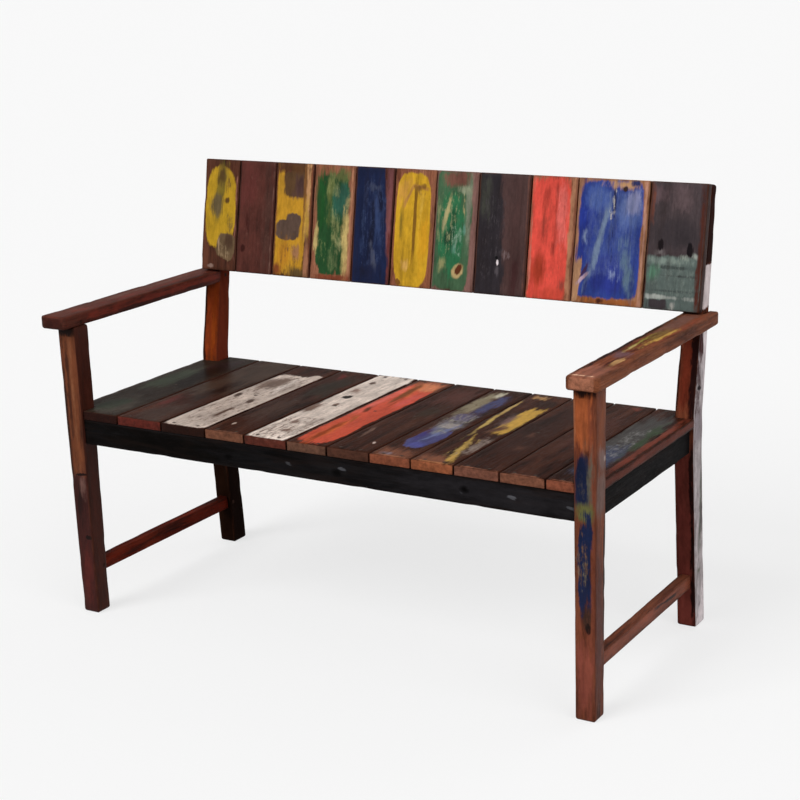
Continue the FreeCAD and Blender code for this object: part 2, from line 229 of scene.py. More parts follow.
FLOOR_REACH, WALL = 60, 7
floor_mesh = bpy.data.meshes.new("floor")
floor_mesh.from_pydata([(x * FLOOR_REACH, y * FLOOR_REACH, z) for z in (0, WALL)
                        for x, y in ((-1, -1), (1, -1), (1, 1), (-1, 1))],
                       [], [(0, 1, 2, 3), (0, 4, 5, 1), (1, 5, 6, 2), (2, 6, 7, 3), (3, 7, 4, 0)])
floor_mesh.materials.append(studio_paper("floor_paper", 0.96, 0.7))
floor_mesh.materials.append(studio_paper("far_paper", 0.942, 1.0))
floor_mesh.polygons.foreach_set("material_index", [0, 1, 1, 1, 1])
floor = add("floor", floor_mesh)

# %% [markdown]
# ## Old timber as a surface
# A sawn board is a rounded rectangle carried along its length. What makes it old is that nothing
# stays true: its edges are rubbed by different amounts, its faces are a little hollow and its
# corners have dents. A box with a Bevel modifier would have edges that are all alike, so one function
# draws a ring at each station, lets smooth noise change the rounding from station to station, and
# presses the surface inwards. The noise only ever takes wood away, so a piece never grows past its
# CAD node.

# %% Smooth noise
LATTICE = 16


def lattice_noise(points, cell, seed):
    """Smooth random heights from 0 to 1. Random numbers sit on the corners of a lattice of cells, and
    a point blends the eight around it, each weighted by 3t2 - 2t3 of its nearness in each direction."""
    table = np.random.default_rng(seed).random((LATTICE,) * 3)
    where = np.asarray(points, float) / np.asarray(cell, float)
    base = np.floor(where).astype(int)
    near = where - base
    near = near * near * (3 - 2 * near)
    height = np.zeros(where.shape[:-1])
    for corner in itertools.product((0, 1), repeat=3):
        index = (base + corner) % LATTICE
        weight = np.where(corner, near, 1 - near).prod(-1)
        height += weight * table[index[..., 0], index[..., 1], index[..., 2]]
    return height


print("noise from", lattice_noise(np.random.default_rng(0).random((500, 3)), 0.1, 1).min().round(3))

# %% Rings and stations
def stations(first, last, step, rounding, extra=()):
    """Places of the rings along a piece and how far each is drawn in. Near an end the pairs follow a
    quarter circle: r - r cos t along the piece and r - r sin t inwards, for t up to a right angle."""
    turn = np.linspace(0, math.pi / 2, 4)
    lip = rounding * (1 - np.cos(turn))
    draw = rounding * (1 - np.sin(turn))
    count = max(3, round((last - first) / step))
    middle = np.linspace(first + rounding, last - rounding, count)[1:-1]
    middle = np.sort(np.concatenate([middle, extra]))
    along = np.concatenate([first + lip, middle, (last - lip)[::-1]])
    return along, np.concatenate([draw, middle * 0, draw[::-1]])


def rounded_rings(across, depth, radius, flats, arc=4):
    """One ring per station: a rectangle with rounded corners. A corner's points are its arc's centre
    plus the radius times (cos t, sin t) over a quarter turn, and a side's points share out the way
    from one arc to the next. Gives points, outward normals and distances from the nearest edge."""
    turns = np.arange(4)[:, None] * math.pi / 2 + np.linspace(0, math.pi / 2, arc)
    units = np.stack([np.cos(turns), np.sin(turns)], -1)
    signs = np.array([[1, 1], [-1, 1], [-1, -1], [1, -1]])
    corners = np.stack([across[:, [1, 0, 0, 1]], depth[:, [1, 1, 0, 0]]], -1)
    centres = corners - signs * radius[..., None]
    arcs = centres[:, :, None] + radius[:, :, None, None] * units
    points, normals, edges = [], [], []
    for side in range(4):
        start, end = arcs[:, side, -1], arcs[:, (side + 1) % 4, 0]
        count = flats[side % 2]
        share = ((np.arange(count) + 1) / (count + 1))[:, None]
        length = np.linalg.norm(end - start, axis=-1)[:, None]
        points += [arcs[:, side], start[:, None] * (1 - share) + end[:, None] * share]
        normals += [units[side], np.repeat(units[side, -1:], count, 0)]
        edges += [length * np.zeros(arc), length * np.minimum(share, 1 - share)[:, 0]]
    return np.concatenate(points, 1), np.concatenate(normals), np.concatenate(edges, 1)


print("rings at", stations(0, 0.5, 0.1, 0.002)[0].round(4))

# %% The timber function
ROOT = "root"
HOLLOW, DENT_REACH, DENT_FROM, LEAST_RADIUS = 0.0008, 0.005, 0.62, 0.0003
EDGE_CELL, HOLLOW_CELL, DENT_CELL = (0.06, 0.1, 1), (0.05, 0.05, 0.17), (0.02, 0.02, 0.03)
# A piece's three noises take a seed each, so the seeds of two pieces lie this far apart
SEED_STEP = 7


def ring_mesh(name, points, mirrored):
    """A closed mesh over rings of points: four-sided faces from each ring to the next, and one flat
    face at each end. Faces are turned round where the piece's own axes are a mirror image."""
    count, size = points.shape[:2]
    index = np.arange(count * size).reshape(count, size)
    ahead = np.roll(index, -1, axis=1)
    quads = np.stack([index[:-1], ahead[:-1], ahead[1:], index[1:]], -1).reshape(-1, 4)
    faces = quads.tolist() + [index[0, ::-1].tolist(), index[-1].tolist()]
    if mirrored:
        faces = [face[::-1] for face in faces]
    mesh = bpy.data.meshes.new(name)
    mesh.from_pydata(points.reshape(-1, 3).tolist(), [], faces)
    mesh.polygons.foreach_set("use_smooth", np.ones(len(mesh.polygons), bool))
    mesh.set_sharp_from_angle(angle=math.radians(40))
    return mesh


def timber(node, material, axes, along, across, depth, seed, radius=0.002, skew=0.0, flats=(12, 3)):
    """An old piece of timber in the place of a CAD node. along is (stations, how far drawn in); across
    and depth hold each station's low and high sides. A point is origin + a A + b B + l L. Each corner's
    radius changes with noise, and each point moves inwards by noise, most near the edges. skew slants
    a station, so that an end can lean. flats are the points along the sides across and in depth."""
    origin, a_axis, b_axis, l_axis = (np.asarray(axis, float) for axis in axes)
    place, inset = along
    shrink = np.stack([inset, -inset], -1)
    across = np.broadcast_to(across, (len(place), 2)) + shrink
    depth = np.broadcast_to(depth, (len(place), 2)) + shrink
    marks = np.stack(np.broadcast_arrays(place[:, None], np.arange(4) * 0.37, 0.5), -1)
    rubbed = radius * (0.75 + lattice_noise(marks, EDGE_CELL, seed) ** 2)
    most = np.minimum(np.ptp(across, axis=1), np.ptp(depth, axis=1))[:, None] * 0.45
    rubbed = np.minimum(np.maximum(rubbed - 0.6 * inset[:, None], LEAST_RADIUS), most)
    ring, normals, edge = rounded_rings(across, depth, rubbed, flats)
    local = np.concatenate([ring, np.broadcast_to(place[:, None, None], ring.shape[:2] + (1,))], -1)
    hollow = lattice_noise(local, HOLLOW_CELL, seed + 1)
    dents = np.clip(lattice_noise(local, DENT_CELL, seed + 2) - DENT_FROM, 0, 1) * 4
    press = HOLLOW * (0.5 * hollow + dents * np.exp(-(edge / DENT_REACH) ** 2))
    local[..., :2] -= press[..., None] * normals
    middle = depth.mean(1)[:, None]
    local[..., 2] += np.broadcast_to(skew, place.shape)[:, None] * (local[..., 1] - middle)
    points = origin + local @ np.stack([a_axis, b_axis, l_axis])
    mesh = ring_mesh(node, points, np.cross(a_axis, b_axis) @ l_axis < 0)
    centre = np.array([across.mean(), depth.max(), place.min()])
    facing = np.broadcast_to(np.concatenate([normals, normals[:, :1] * 0], -1), local.shape)
    ends = np.minimum(place - place.min(), place.max() - place)[:, None] + edge * 0
    for label, kind, field, values in (
            ("grain", "FLOAT_VECTOR", "vector", local - centre), ("facing", "FLOAT_VECTOR", "vector", facing),
            ("edge", "FLOAT", "value", edge), ("end", "FLOAT", "value", ends)):
        mesh.attributes.new(label, kind, "POINT").data.foreach_set(field, values.astype(np.float32).ravel())
    mesh.materials.append(material)
    made = add("worn_" + node, mesh)
    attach(made, ROOT)
    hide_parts(node)


# %% [markdown]
# ## Wood and paint as node groups
# A shader can only answer one question: which colour is this point? For old painted wood the answer
# comes in layers. First there is bare timber with its grain, then coats of paint that cover only
# part of it, and last the grime of years. Each layer is a node group, built once and placed in every
# material with its own values. All of them read the grain attribute, a point's place in its own
# board, so the pattern runs along the wood however the board is turned.

# %% Group: noise that wear follows
g, out = new_group("wear_noise", "Grain:Vector Seed", "Coarse Fine Fibre Flake Grit Streak Place:Vector")
moved = v_plus(g["Grain"], combine(*(times(g["Seed"], step) for step in (7.31, 3.17, 1.93))))
link(moved, out["Place"])
for label, along, scale, detail, rough in (
        ("Coarse", 0.45, 34, 3, 0.55), ("Fine", 0.45, 190, 4, 0.6), ("Fibre", 0.035, 430, 3, 0.55),
        ("Flake", 0.25, 95, 6, 0.68), ("Grit", 0.4, 140, 6, 0.74), ("Streak", 0.09, 70, 4, 0.6)):
    link(noise(v_times(moved, (1, 1, along)), scale, detail, rough), out[label])

# %% Group: bare timber
PORE = (0.012, 0.006, 0.005, 1)
g, out = new_group(
    "bare_timber", "Place:Vector Fibre Streak Dark:Color Middle:Color Light:Color", "Color:Color Height")
tone = noise(v_times(g["Place"], (1, 1, 0.14)), 24, 4, 0.55, 0.4)
rings = ramp(sine(times(tone, 55.0)), 0.2, 1.0)
dashes = ramp(noise(v_times(g["Place"], (1, 1, 0.07)), 820, 1), 0.6, 0.7)
colour = mix(ramp(g["Streak"], 0.36, 0.54), g["Dark"], g["Middle"])
colour = mix(ramp(tone, 0.46, 0.7, 0.0, 0.8), colour, g["Light"])
colour = mix(times(rings, 0.22), colour, g["Light"])
colour = mix(ramp(g["Fibre"], 0.5, 0.34, 0.0, 0.4), colour, g["Dark"])
link(mix(times(dashes, 0.4), colour, PORE), out["Color"])
link(times_plus(dashes, -0.5, times_plus(rings, 0.25, g["Fibre"])), out["Height"])

# %% Group: where a patch of paint lies
g, out = new_group(
    "paint_patch", "Spot:Vector Middle:Vector Half:Vector Turn Square Least Coarse Fine Ragged Zone",
    "Shape")
away = put("VectorRotate", {"Vector": v_minus(g["Spot"], g["Middle"]), "Angle": g["Turn"]},
           rotation_type="Z_AXIS").outputs[0]
parts = put("SeparateXYZ", {0: v_size(v_over(away, g["Half"]))}).outputs
total = plus(power(parts[0], g["Square"]), power(parts[1], g["Square"]))
inside = times(minus(1.0, power(total, over(1.0, g["Square"]))), g["Least"])
for label, part in (("Coarse", 3.0), ("Fine", 1.2)):
    inside = times_plus(times(minus(g[label], 0.5), part), g["Ragged"], inside)
link(lesser(greater(over(inside, g["Zone"]), -1.0), 1.0), out["Shape"])

# %% Group: one coat of paint over what is there
g, out = new_group(
    "paint_coat",
    "Under:Color Paint:Color Shape Facing Wear Soft Full Coarse Fine Fibre Flake Streak Cover Height",
    "Color:Color Cover Height")
holds = times_plus(g["Fibre"], 0.28, times(g["Flake"], 0.72))
level = times_plus(g["Shape"], 0.5, times(minus(holds, 0.5), 2.4))
cover = ramp(minus(level, g["Wear"]), times(g["Soft"], -1.0), g["Soft"])
cover = times(cover, times(g["Facing"], g["Full"]))
cover = times(cover, ramp(g["Shape"], -0.98, -0.7))
tones = times_plus(g["Coarse"], 1.05, times(g["Fine"], 0.65))
tones = times_plus(g["Streak"], 0.75, minus(tones, 0.225))
link(mix(cover, g["Under"], v_times(g["Paint"], combine(tones, tones, tones))), out["Color"])
link(greater(g["Cover"], cover), out["Cover"])
link(times_plus(cover, 0.75, times(g["Height"], times_plus(cover, -0.7, 1.0))), out["Height"])

# %% Group: years of grime and handling, with pale edges that are partly a painted highlight
GRIME = (0.016, 0.009, 0.007, 1)
g, out = new_group(
    "old_finish", "Color:Color Cover Edge End Coarse Fine Flake Streak Rim Pale:Color",
    "Color:Color Roughness")
on_the_end = ramp(g["End"], 0.0001, 0.0003, 0.0035, 0.0)
rim = greater(lesser(g["Edge"], g["End"]), on_the_end)
dirt = times_plus(ramp(g["Streak"], 0.5, 0.7), 0.75, ramp(rim, 0.0, 0.006, 0.45, 0.0))
dirt = times_plus(ramp(g["Coarse"], 0.5, 0.75), 0.5, dirt)
# Within about 3 mm of an edge the colour turns pale: partly worn paint, partly a painted highlight on the
# rounded edge.
rubbed = times(ramp(rim, 0.0003, 0.0028, 1.0, 0.0), ramp(g["Flake"], 0.42, 0.6))
link(mix(times(rubbed, g["Rim"]), mix(times(dirt, 0.4), g["Color"], GRIME), g["Pale"]), out["Color"])
link(times_plus(g["Cover"], -0.06, times_plus(g["Fine"], 0.3, 0.36)), out["Roughness"])
print("node groups", [group.name for group in bpy.data.node_groups])

# %% [markdown]
# ## A material from a list of coats
# A board is described the way one would describe it aloud: dark wood, a yellow coat with round
# corners, a worn oval in the middle. A coat has a colour, a middle and a half size in millimetres,
# measured from the board's centre line and from its lower or front end. Its outline is the curve
# |x/w|^n + |y/h|^n = 1, an ellipse for n = 2 and nearly a rectangle for n = 8, pushed in and out by
# noise. Thin shapes become scratches and streaks. A picture painted by hand would blur close up,
# while coats worked out by formula stay sharp.

# %% Kinds of coat
MM = 0.001
ALL_OVER = (900, 900)


def kind_of_coat(square, ragged, zone, wear, soft, chips="Flake"):
    """A function that lays one kind of coat: it is given a colour, a middle, a half size and a turn in
    millimetres and degrees. square is the n of its outline, ragged how far noise pushes the outline, zone
    how far from it the paint thins, wear how much is gone all over, soft how gently it fades, chips the
    noise it chips by, and full how well it hides what lies under it. A coat with no size covers the whole
    side."""
    usual = dict(square=square, ragged=ragged, zone=zone, wear=wear, soft=soft, chips=chips, full=1.0)

    def lay(colour, at=(0, 0), half=ALL_OVER, turn=0, **own):
        laid = {**usual, "colour": colour, "at": at, "half": half, "turn": turn, "side": "show", **own}
        laid["zone"] = min(laid["zone"], 0.8 * min(half))
        return laid
    return lay


def on_the_right(*coats):
    """The same coats on a piece's right side instead of the side that shows most."""
    return [{**laid, "side": "right"} for laid in coats]


# Outline, raggedness, zone, wear and softness of each kind
patch = kind_of_coat(5, 3, 3, 0, 0.3)
strip = kind_of_coat(8, 2, 5, 0.05, 0.3)
smear = kind_of_coat(3, 6, 9, 0.12, 0.4)
spot = kind_of_coat(2, 2, 4, -0.1, 0.2)
specks = kind_of_coat(4, 8, 8, 0.66, 0.2, "Grit")
whole = kind_of_coat(9, 3, 7, -0.15, 0.3)
streak = kind_of_coat(3, 3, 14, 0.05, 0.4)
stain = kind_of_coat(3, 6, 9, 0, 0.4)
haze = kind_of_coat(3, 6, 14, 0.2, 0.4)
mark = kind_of_coat(3, 5, 20, 0.15, 0.4)
mottle = kind_of_coat(4, 8, 8, 0.5, 0.4, "Grit")
wash = kind_of_coat(3, 14, 20, 0.12, 0.4)
cloud = kind_of_coat(3, 6, 12, 0.12, 0.4)
band = kind_of_coat(8, 3, 5, 0.05, 0.3)
print("a spot is", spot((0, 0, 0), half=(5, 5)))

# %% Materials of painted timber
RED = ((50, 23, 15), (104, 53, 36), (138, 78, 54))
DARK = ((42, 21, 14), (76, 42, 29), (104, 62, 46))
MAROON = ((36, 17, 13), (68, 33, 26), (94, 52, 42))
BROWN = ((30, 13, 7), (58, 28, 18), (84, 48, 34))
CLAY = ((94, 52, 37), (138, 84, 60), (164, 110, 84))
TAN = ((100, 60, 42), (150, 101, 70), (184, 138, 106))
MAUVE = ((84, 52, 45), (122, 86, 78), (146, 110, 100))
INK = ((9, 8, 8), (17, 16, 17), (29, 27, 28))
# Each side's place across in the grain attribute, and the way it faces
SIDES = {"show": (0, (0, 1, 0)), "right": (1, (1, 0, 0))}
# How steeply paint ends near an edge, per metre, and how far the second set of noise is from the first
EDGE_FADE, SECOND_NOISE = 400.0, 37.7


def painted_timber(name, wood, coats=(), seed=1, end=None, keep=1.6, rim=0.2, sheen=0.06, gloss=1.0):
    """A material: bare timber, then each coat in turn, then the end grain's colour and the grime. Coats
    take turns with two sets of noise, so that one coat's chips are not another's. keep is how far from
    an edge the paint ends, in millimetres, and rim how pale the edges are: partly wear, partly a painted
    highlight on the rounded edges. sheen is the shader's specular level, and gloss a factor on its roughness."""
    material, shader = new_material(name)
    grain, facing, edge, ends = (put("Attribute", attribute_name=label).outputs[kind] for label, kind in (
        ("grain", "Vector"), ("facing", "Vector"), ("edge", "Fac"), ("end", "Fac")))
    worn, other = (use("wear_noise", {"Grain": grain, "Seed": seed + shift})
                   for shift in (0.0, SECOND_NOISE))
    dark, middle, light = (shade(*tone) for tone in wood)
    tones = {"Dark": dark, "Middle": middle, "Light": light}
    bare = use("bare_timber", {**pick(worn, "Place Fibre Streak"), **tones})
    colour, height, cover = bare["Color"], bare["Height"], 0.0
    rubbed = times(minus(lesser(edge, ends), MM * keep), EDGE_FADE)
    parts = put("SeparateXYZ", {0: grain}).outputs
    sides = {}
    for side, (axis, normal) in SIDES.items():
        toward = put("VectorMath", {0: facing, 1: normal}, operation="DOT_PRODUCT").outputs["Value"]
        sides[side] = combine(parts[axis], parts[2]), ramp(toward, 0.45, 0.8)
    for layer, laid in zip(itertools.cycle((worn, other)), coats):
        place, on_side = sides[laid["side"]]
        centre, half = ([MM * size for size in laid[key]] for key in ("at", "half"))
        shape = use("paint_patch", {
            **pick(layer, "Coarse Fine"), "Spot": place, "Middle": (*centre, 0), "Half": (*half, 1),
            "Least": min(half), "Turn": math.radians(-laid["turn"]), "Square": laid["square"],
            "Ragged": MM * laid["ragged"], "Zone": MM * laid["zone"]})["Shape"]
        painted = use("paint_coat", {
            **pick(layer, "Coarse Fine Fibre Streak"), "Flake": layer[laid["chips"]], "Under": colour,
            "Paint": shade(*laid["colour"]), "Shape": lesser(shape, rubbed), "Facing": on_side,
            "Wear": laid["wear"], "Soft": laid["soft"], "Full": laid["full"],
            "Cover": cover, "Height": height})
        colour, cover, height = painted["Color"], painted["Cover"], painted["Height"]
    if end:
        low, high = (shade(*[c * level for c in end]) for level in (0.84, 1.08))
        end_grain = mix(ramp(other["Flake"], 0.35, 0.65), low, high)
        colour = mix(ramp(ends, 0.0006, 0.0014, 0.9, 0.0), colour, end_grain)
    aged = use("old_finish", {
        **pick(worn, "Fine Flake"), **pick(other, "Coarse Streak"), "Color": colour, "Cover": cover,
        "Edge": edge, "End": ends, "Rim": rim, "Pale": light})
    link(aged["Color"], shader["Base Color"])
    link(times(aged["Roughness"], gloss), shader["Roughness"])
    bump = put("Bump", {"Strength": 0.6, "Distance": 0.0012, "Height": height})
    link(bump.outputs[0], shader["Normal"])
    shader["Specular IOR Level"].default_value = sheen
    return material


print("painted on", sorted(SIDES))

# %% [markdown]
# ## The back
# Eleven upright boards lean back with the posts. They could be made upright and then turned, but a
# finished piece is to sit at the origin with its place in its mesh. So their axes lean instead: they
# are the bench's X axis, the leaning face's outward normal and the way up that face, and a coat's
# millimetres run across and up the board.

# %% Coats of the back boards
# The strip near each board's right edge is bare red wood at the rounded edge; where it is paler than the
# board, it is also a painted highlight.
back_coats = {}
back_coats[1] = DARK, [
    strip((150, 100, 85), (43, 130), (3.5, 95), wear=0.2),
    patch((178, 140, 34), (-1, 142), (41, 90), square=3.2),
    stain((118, 100, 36), (-3, 176), (13, 50), -9),
    smear((80, 60, 30), (0, 213), (10, 17), -6, wear=-0.05),
    smear((92, 78, 52), (-10, 148), (15, 20), -12, wear=-0.05),
    specks((110, 84, 36), (20, 200), (12, 30), wear=0.46),
    spot((86, 60, 28), (16, 158), (6.5, 7), soft=0.3),
    specks((128, 102, 44), (25, 112), (14, 30), wear=0.46),
    stain((102, 81, 58), (17, 56), (27, 28), -18, zone=3, soft=0.3),
    smear((72, 52, 37), (28, 68), (11, 14)),
    specks((146, 122, 92), (10, 50), (22, 26), wear=0.61),
    smear((150, 124, 96), (-1, 60), (2.5, 18), ragged=3),
    spot((128, 103, 92), (-21, 9), (7, 3.5), soft=0.3)]
back_coats[2] = MAROON, [
    whole((83, 44, 37)),
    smear((96, 46, 42), (-22, 195), (24, 50), zone=14, full=0.6),
    smear((72, 47, 40), (32, 125), (14, 140), square=6, full=0.8),
    smear((60, 26, 22), (-24, 112), (5, 22), wear=0.25),
    spot((54, 21, 17), (-32, 55), (6, 7), soft=0.3),
    specks((104, 70, 60), (0, 125), (44, 120), wear=0.76, full=0.5),
    strip((108, 78, 68), (45, 125), (3, 125), wear=0.2)]
back_coats[3] = DARK, [
    band((150, 98, 42), (-44, 125), (4, 118)),
    patch((186, 137, 38), (-6, 108), (38, 101), square=6, zone=5),
    patch((176, 130, 40), (-36, 205), (9, 25)),
    patch((88, 63, 40), (1, 204), (29, 29), zone=5),
    stain((78, 54, 50), (13, 200), (14, 22)),
    stain((84, 54, 31), (0, 239), (36, 9)),
    patch((86, 67, 57), (-13, 102), (31, 22), -4, square=3.4, ragged=2),
    patch((86, 67, 57), (1, 121), (19, 18), -12, square=3, ragged=2),
    smear((150, 106, 74), (11, 58), (9, 17)),
    smear((178, 116, 32), (-20, 48), (16, 30), full=0.6),
    stain((90, 70, 40), (20, 8), (28, 11), -12),
    smear((126, 68, 34), (-36, 14), (10, 9)),
    specks((112, 78, 44), (-6, 60), (34, 50), wear=0.71),
    smear((116, 76, 40), (28, 165), (3, 75), ragged=3),
    strip((188, 140, 96), (37, 190), (5.5, 55)),
    streak((184, 143, 62), (36, 122), (6, 40), wear=0),
    band((144, 98, 72), (39, 40), (6, 46)),
    strip((126, 74, 50), (46, 125), (3, 122))]
back_coats[4] = CLAY, [
    patch((34, 70, 38), (-2, 124), (39, 112), ragged=5),
    stain((29, 74, 34), (-31, 172), (11, 52)),
    stain((42, 84, 68), (18, 172), (19, 34)),
    smear((92, 102, 56), (-10, 188), (10, 46)),
    smear((94, 102, 58), (8, 228), (28, 12)),
    mottle((140, 142, 92), (-2, 205), (20, 36), wear=0.58, full=0.7),
    mottle((152, 150, 98), (6, 110), (14, 44), full=0.65),
    mottle((164, 160, 112), (18, 72), (13, 26), wear=0.44, full=0.75),
    mottle((140, 144, 98), (6, 46), (20, 30), wear=0.58, full=0.5),
    specks((120, 136, 84), (-22, 60), (16, 44), wear=0.61),
    strip((172, 152, 98), (-42, 92), (5.5, 30), square=3, ragged=6),
    stain((192, 168, 106), (35, 70), (7.5, 52), soft=0.5),
    mottle((180, 156, 100), (38, 150), (6, 30), full=0.7),
    strip((166, 114, 86), (47, 125), (3.5, 122)),
    strip((120, 62, 42), (0, 6), (46, 5))]
back_coats[5] = MAROON, [
    band((116, 70, 70), (38, 150), (11, 115)),
    strip((98, 48, 46), (44, 60), (5, 60)),
    whole((22, 31, 61), (-15, 124), (48, 140), 4.3, ragged=2, zone=5, wear=-0.1),
    smear((44, 58, 94), (12, 155), (12, 56), 3),
    smear((18, 24, 48), (-4, 110), (9, 75)),
    smear((60, 66, 88), (4, 206), (13, 7)),
    smear((62, 66, 84), (4, 58), (4, 26), 12),
    stain((16, 21, 44), (16, 178), (4, 22), 6),
    smear((42, 54, 86), (-24, 125), (6, 64), wear=0.25),
    specks((48, 60, 92), (0, 130), (36, 110)),
    cloud((20, 27, 54), (-10, 20), (34, 20))]
back_coats[6] = CLAY, [
    patch((192, 148, 36), (-2, 121), (42, 120), square=4, ragged=1, zone=1.6, wear=-0.1),
    smear((200, 144, 30), (26, 108), (12, 58), full=0.8),
    smear((182, 134, 56), (-24, 205), (12, 26), -20),
    strip((112, 76, 25), (3, 138), (3, 72), ragged=0.5, zone=1.6, wear=-0.2, soft=0.4, full=0.9),
    streak((160, 114, 58), (-13, 196), (3.2, 22), -27),
    streak((156, 110, 52), (13, 212), (18, 3.6), -10),
    spot((120, 84, 34), (6, 210), (6, 4), soft=0.4, full=0.8),
    spot((116, 80, 34), (21, 215), (4.5, 4), soft=0.4, full=0.8),
    specks((128, 90, 40), (10, 205), (24, 16), wear=0.58),
    streak((134, 108, 32), (-30, 134), (4, 28), ragged=2.5),
    spot((122, 80, 34), (-30, 10), (7, 4), -25),
    haze((204, 158, 82), (-16, 46), (8, 10)),
    smear((206, 166, 70), (18, 170), (8, 40), wear=0.35, full=0.7)]
back_coats[7] = MAUVE, [
    patch((64, 93, 66), (-6, 124), (44, 126), square=6, soft=0.2),
    streak((120, 126, 106), (30, 170), (8, 60), ragged=6),
    smear((110, 71, 60), (0, 233), (23, 15), wear=-0.05),
    stain((44, 104, 68), (-8, 120), (30, 86), square=2.6, soft=0.25),
    haze((26, 70, 44), (-6, 120), (8, 66), -5),
    mark((22, 60, 40), (-18, 110), (9, 13), ragged=6),
    smear((134, 140, 114), (16, 211), (19, 8), wear=0.1),
    specks((150, 152, 112), (-12, 140), (30, 90), wear=0.7),
    smear((156, 146, 102), (-20, 168), (3, 36), -13, ragged=4, wear=0.1),
    smear((150, 146, 106), (-29, 133), (3.6, 15), ragged=4, wear=0.1),
    patch((170, 154, 108), (20, 162), (3, 26), 6, square=3, ragged=4, wear=0.1),
    specks((120, 150, 128), (8, 100), (16, 46), wear=0.56),
    smear((98, 146, 126), (0, 86), (6, 11), full=0.6),
    smear((106, 150, 134), (22, 130), (4, 12), full=0.6),
    haze((140, 138, 94), (-27, 56), (9, 16)),
    haze((120, 128, 90), (-40, 150), (4, 30)),
    streak((160, 148, 102), (3, 41), (6, 4), -25),
    patch((172, 148, 102), (13, 44), (12, 17), -30, square=2, soft=0.4),
    spot((84, 43, 23), (14, 47), (5.5, 11), -35, ragged=1.5),
    strip((126, 91, 84), (42, 120), (6, 128))]
back_coats[8] = DARK, [
    whole((42, 37, 41)),
    stain((75, 54, 52), (41, 125), (40, 150), 3.4, square=9, ragged=5, zone=8),
    smear((68, 47, 45), (30, 110), (14, 120)),
    smear((60, 34, 34), (36, 50), (11, 52)),
    cloud((56, 56, 50), (-42, 200), (14, 40)),
    strip((104, 66, 56), (55, 125), (3.5, 128), wear=0.1),
    specks((110, 92, 92), (14, 84), (16, 14), wear=0.56),
    specks((70, 64, 68), (-20, 120), (34, 110), wear=0.71),
    haze((74, 68, 72), (-9, 50), (6, 9)),
    spot((14, 12, 14), (-9, 77), (3, 3), ragged=1),
    spot((230, 218, 220), (-7, 67.5), (2.6, 4.6), ragged=1)]
back_coats[9] = CLAY, [
    whole((212, 76, 63), (-5, 124), (42, 122), square=7, zone=5),
    cloud((216, 102, 93), (22, 180), (12, 60)),
    streak((162, 56, 45), (-17, 205), (5, 22), -5, ragged=4),
    streak((154, 58, 47), (-19, 146), (4.5, 30), wear=0),
    stain((162, 56, 45), (4, 106), (3, 11), ragged=2),
    smear((164, 57, 37), (-22, 56), (14, 28), square=2, wear=-0.05, soft=0.6),
    smear((144, 64, 52), (29, 30), (10, 18)),
    smear((196, 70, 54), (0, 12), (40, 14), zone=10),
    specks((176, 72, 58), (4, 120), (36, 110), wear=0.74),
    strip((194, 110, 92), (-46, 120), (3, 110), wear=0.12),
    strip((168, 118, 88), (42, 125), (5, 128))]
back_coats[10] = TAN, [
    whole((44, 61, 130), (-3, 128), (67, 115), zone=3, wear=-0.05),
    cloud((34, 50, 132), (-53, 160), (18, 62), wear=0),
    cloud((72, 90, 146), (36, 190), (26, 34), wear=0.05),
    strip((150, 88, 46), (0, 6), (70, 7), ragged=4),
    cloud((39, 50, 124), (-4, 62), (36, 36), wear=-0.05),
    smear((88, 110, 130), (38, 75), (11, 50), 14, wear=0.1),
    streak((104, 120, 144), (-22, 135), (5.5, 74), -13, ragged=5),
    cloud((64, 84, 146), (-34, 212), (26, 26)),
    smear((122, 124, 158), (42, 205), (20, 26), ragged=10, wear=0.25),
    specks((104, 120, 156), (0, 140), (60, 95), wear=0.6, soft=0.5, full=0.45),
    stain((132, 148, 182), (-56, 135), (5, 15), ragged=4),
    haze((24, 31, 72), (4, 150), (2.4, 92), ragged=5, full=0.9),
    specks((168, 164, 162), (2, 205), (7, 36), wear=0.4),
    mottle((150, 164, 202), (9, 62), (12, 17), wear=0.36, full=0.8),
    patch((168, 126, 94), (-72, 45), (10, 42), -6, ragged=5),
    stain((60, 38, 72), (-55, 60), (2.6, 18), -31, ragged=2),
    stain((168, 142, 158), (-55, 50), (2.4, 12), -45, ragged=2),
    streak((186, 142, 100), (22, 240), (30, 8), ragged=5),
    spot((56, 38, 34), (25, 230), (5, 5)),
    stain((42, 46, 88), (48, 243), (8, 5)),
    strip((170, 124, 104), (72, 125), (5, 124)),
    streak((70, 34, 24), (-14, 7), (9, 4), ragged=4)]
back_coats[11] = DARK, [
    whole((66, 56, 58)),
    cloud((90, 74, 76), (10, 222), (20, 26), wear=0.05),
    cloud((86, 69, 72), (-36, 224), (20, 20)),
    smear((54, 47, 50), (0, 150), (50, 30), zone=14),
    smear((98, 58, 48), (-53, 200), (4.5, 40)),
    whole((84, 95, 91), (0, 50), (57, 54), zone=5, wear=-0.1),
    mark((120, 133, 125), (-8, 97), (48, 7)),
    smear((132, 141, 131), (20, 104), (10, 6), ragged=4),
    smear((146, 152, 144), (44, 108), (8, 5), -30, ragged=3),
    smear((60, 68, 66), (-10, 84), (44, 2.6), ragged=3),
    streak((64, 70, 68), (10, 68), (40, 2.2), wear=0.2),
    smear((66, 74, 72), (0, 38), (46, 2.4), ragged=3),
    smear((82, 118, 97), (-42, 72), (12, 14)),
    specks((120, 130, 122), (0, 60), (52, 40), full=0.6),
    streak((146, 150, 144), (-8, 25), (50, 3.5)),
    patch((56, 50, 53), (-30, 11), (20, 9), square=6, ragged=2.5),
    smear((156, 154, 148), (0, 10), (6, 9)),
    smear((106, 98, 98), (-31, 112), (8, 6)),
    spot((20, 12, 16), (-31, 127), (4.5, 9)),
    spot((16, 10, 14), (31, 120), (5.5, 11)),
    strip((76, 39, 31), (54, 125), (6, 140)),
    *on_the_right(whole((46, 20, 15), wear=-0.3))]
print("coats on the back", sum(len(coats) for _, coats in back_coats.values()))

